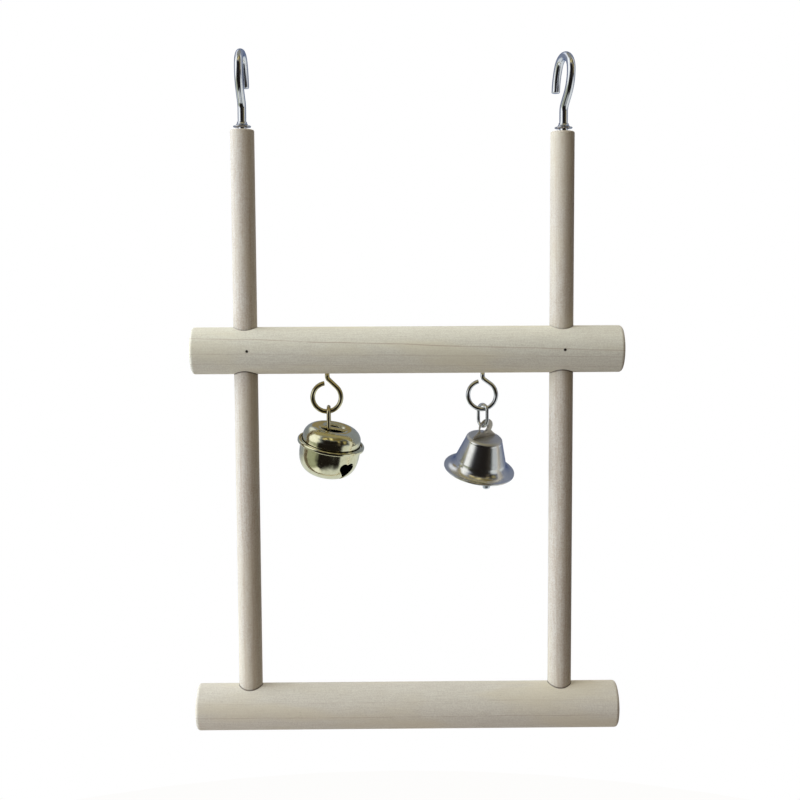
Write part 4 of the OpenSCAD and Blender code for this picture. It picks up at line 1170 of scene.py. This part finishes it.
def band(tree, value, low, high, soft):
    """One between two values and nothing outside them, with soft edges."""
    rising = ranged(tree, value, low - soft, low + soft, 0, 1)
    falling = ranged(tree, value, high - soft, high + soft, 1, 0)
    return maths(tree, "MULTIPLY", rising, falling)


def reflected_room():
    """A glow that changes with its direction alone, laid on in patches one over the other."""
    material = bpy.data.materials.new("reflected_room")
    material.use_nodes = True
    tree = material.node_tree
    tree.nodes.clear()
    ray = add(tree, "ShaderNodeVectorMath", operation="NORMALIZE")
    tree.links.new(add(tree, "ShaderNodeTexCoord").outputs["Object"], ray.inputs[0])
    parts = add(tree, "ShaderNodeSeparateXYZ")
    tree.links.new(ray.outputs[0], parts.inputs[0])
    x, y, z = parts.outputs
    cloud = noise(tree, ray.outputs[0], WOBBLE_SCALE, WOBBLE_DETAIL)
    wobble = maths(tree, "MULTIPLY", maths(tree, "SUBTRACT", cloud, 0.5), WOBBLE_DEGREES)
    around = maths(tree, "DEGREES", maths(tree, "ARCTAN2", x, maths(tree, "MULTIPLY", y, -1.0)))
    around = maths(tree, "ADD", around, wobble)
    height = maths(tree, "ADD", maths(tree, "DEGREES", maths(tree, "ARCSINE", z)), wobble)
    colour = ROOM_TONE
    for first, last, soft, low, high, soft_height, tone in ROOM_PATCHES:
        mask = maths(tree, "MULTIPLY", band(tree, around, first, last, soft),
                     band(tree, height, low, high, soft_height))
        colour = mixed(tree, mask, colour, tone)
    light = add(tree, "ShaderNodeEmission", Strength=1.0)
    tree.links.new(colour, light.inputs["Color"])
    tree.links.new(light.outputs[0], add(tree, "ShaderNodeOutputMaterial").inputs["Surface"])
    return material


def studio():
    """A white surround for the camera, soft lamps for the wood and a drawn room for the metals."""
    floor_data = bpy.data.meshes.new("floor")
    angles = [math.tau * k / FLOOR_SIDES for k in range(FLOOR_SIDES)]
    ring = [(FLOOR_R * math.cos(a), FLOOR_R * math.sin(a), FLOOR_Z) for a in angles]
    floor_data.from_pydata(ring, [], [tuple(range(FLOOR_SIDES))])
    floor_data.materials.append(glowing("floor_pale", (1.0, 0.995, 0.985), 0.985))
    floor = bpy.data.objects.new("floor", floor_data)
    bpy.context.scene.collection.objects.link(floor)
    lights_nothing(floor)
    lights_nothing(dome("surround", SURROUND_R, glowing("studio_white", (1, 1, 1), 1.0)))
    only_mirrored(dome("reflected_room", ROOM_R, reflected_room()))
    for name, (x, y, z), size, tone in BOUNCE_CARDS:
        only_mirrored(card(name, (x, y, z), size, (x, y, z - 1), glowing(name, tone, 1.0)))
    world = bpy.data.worlds.new("studio")
    bpy.context.scene.world = world
    world.use_nodes = True
    sky = world.node_tree.nodes["Background"]
    sky.inputs["Color"].default_value = SKY
    sky.inputs["Strength"].default_value = 1.0
    for name, centre, size, power, colour in LAMPS:
        lamp = soft_light(name, centre, size, STUDIO_MIDDLE, power, colour)
        lamp.visible_glossy = False


studio()
bpy.context.scene.view_settings.view_transform = "Standard"
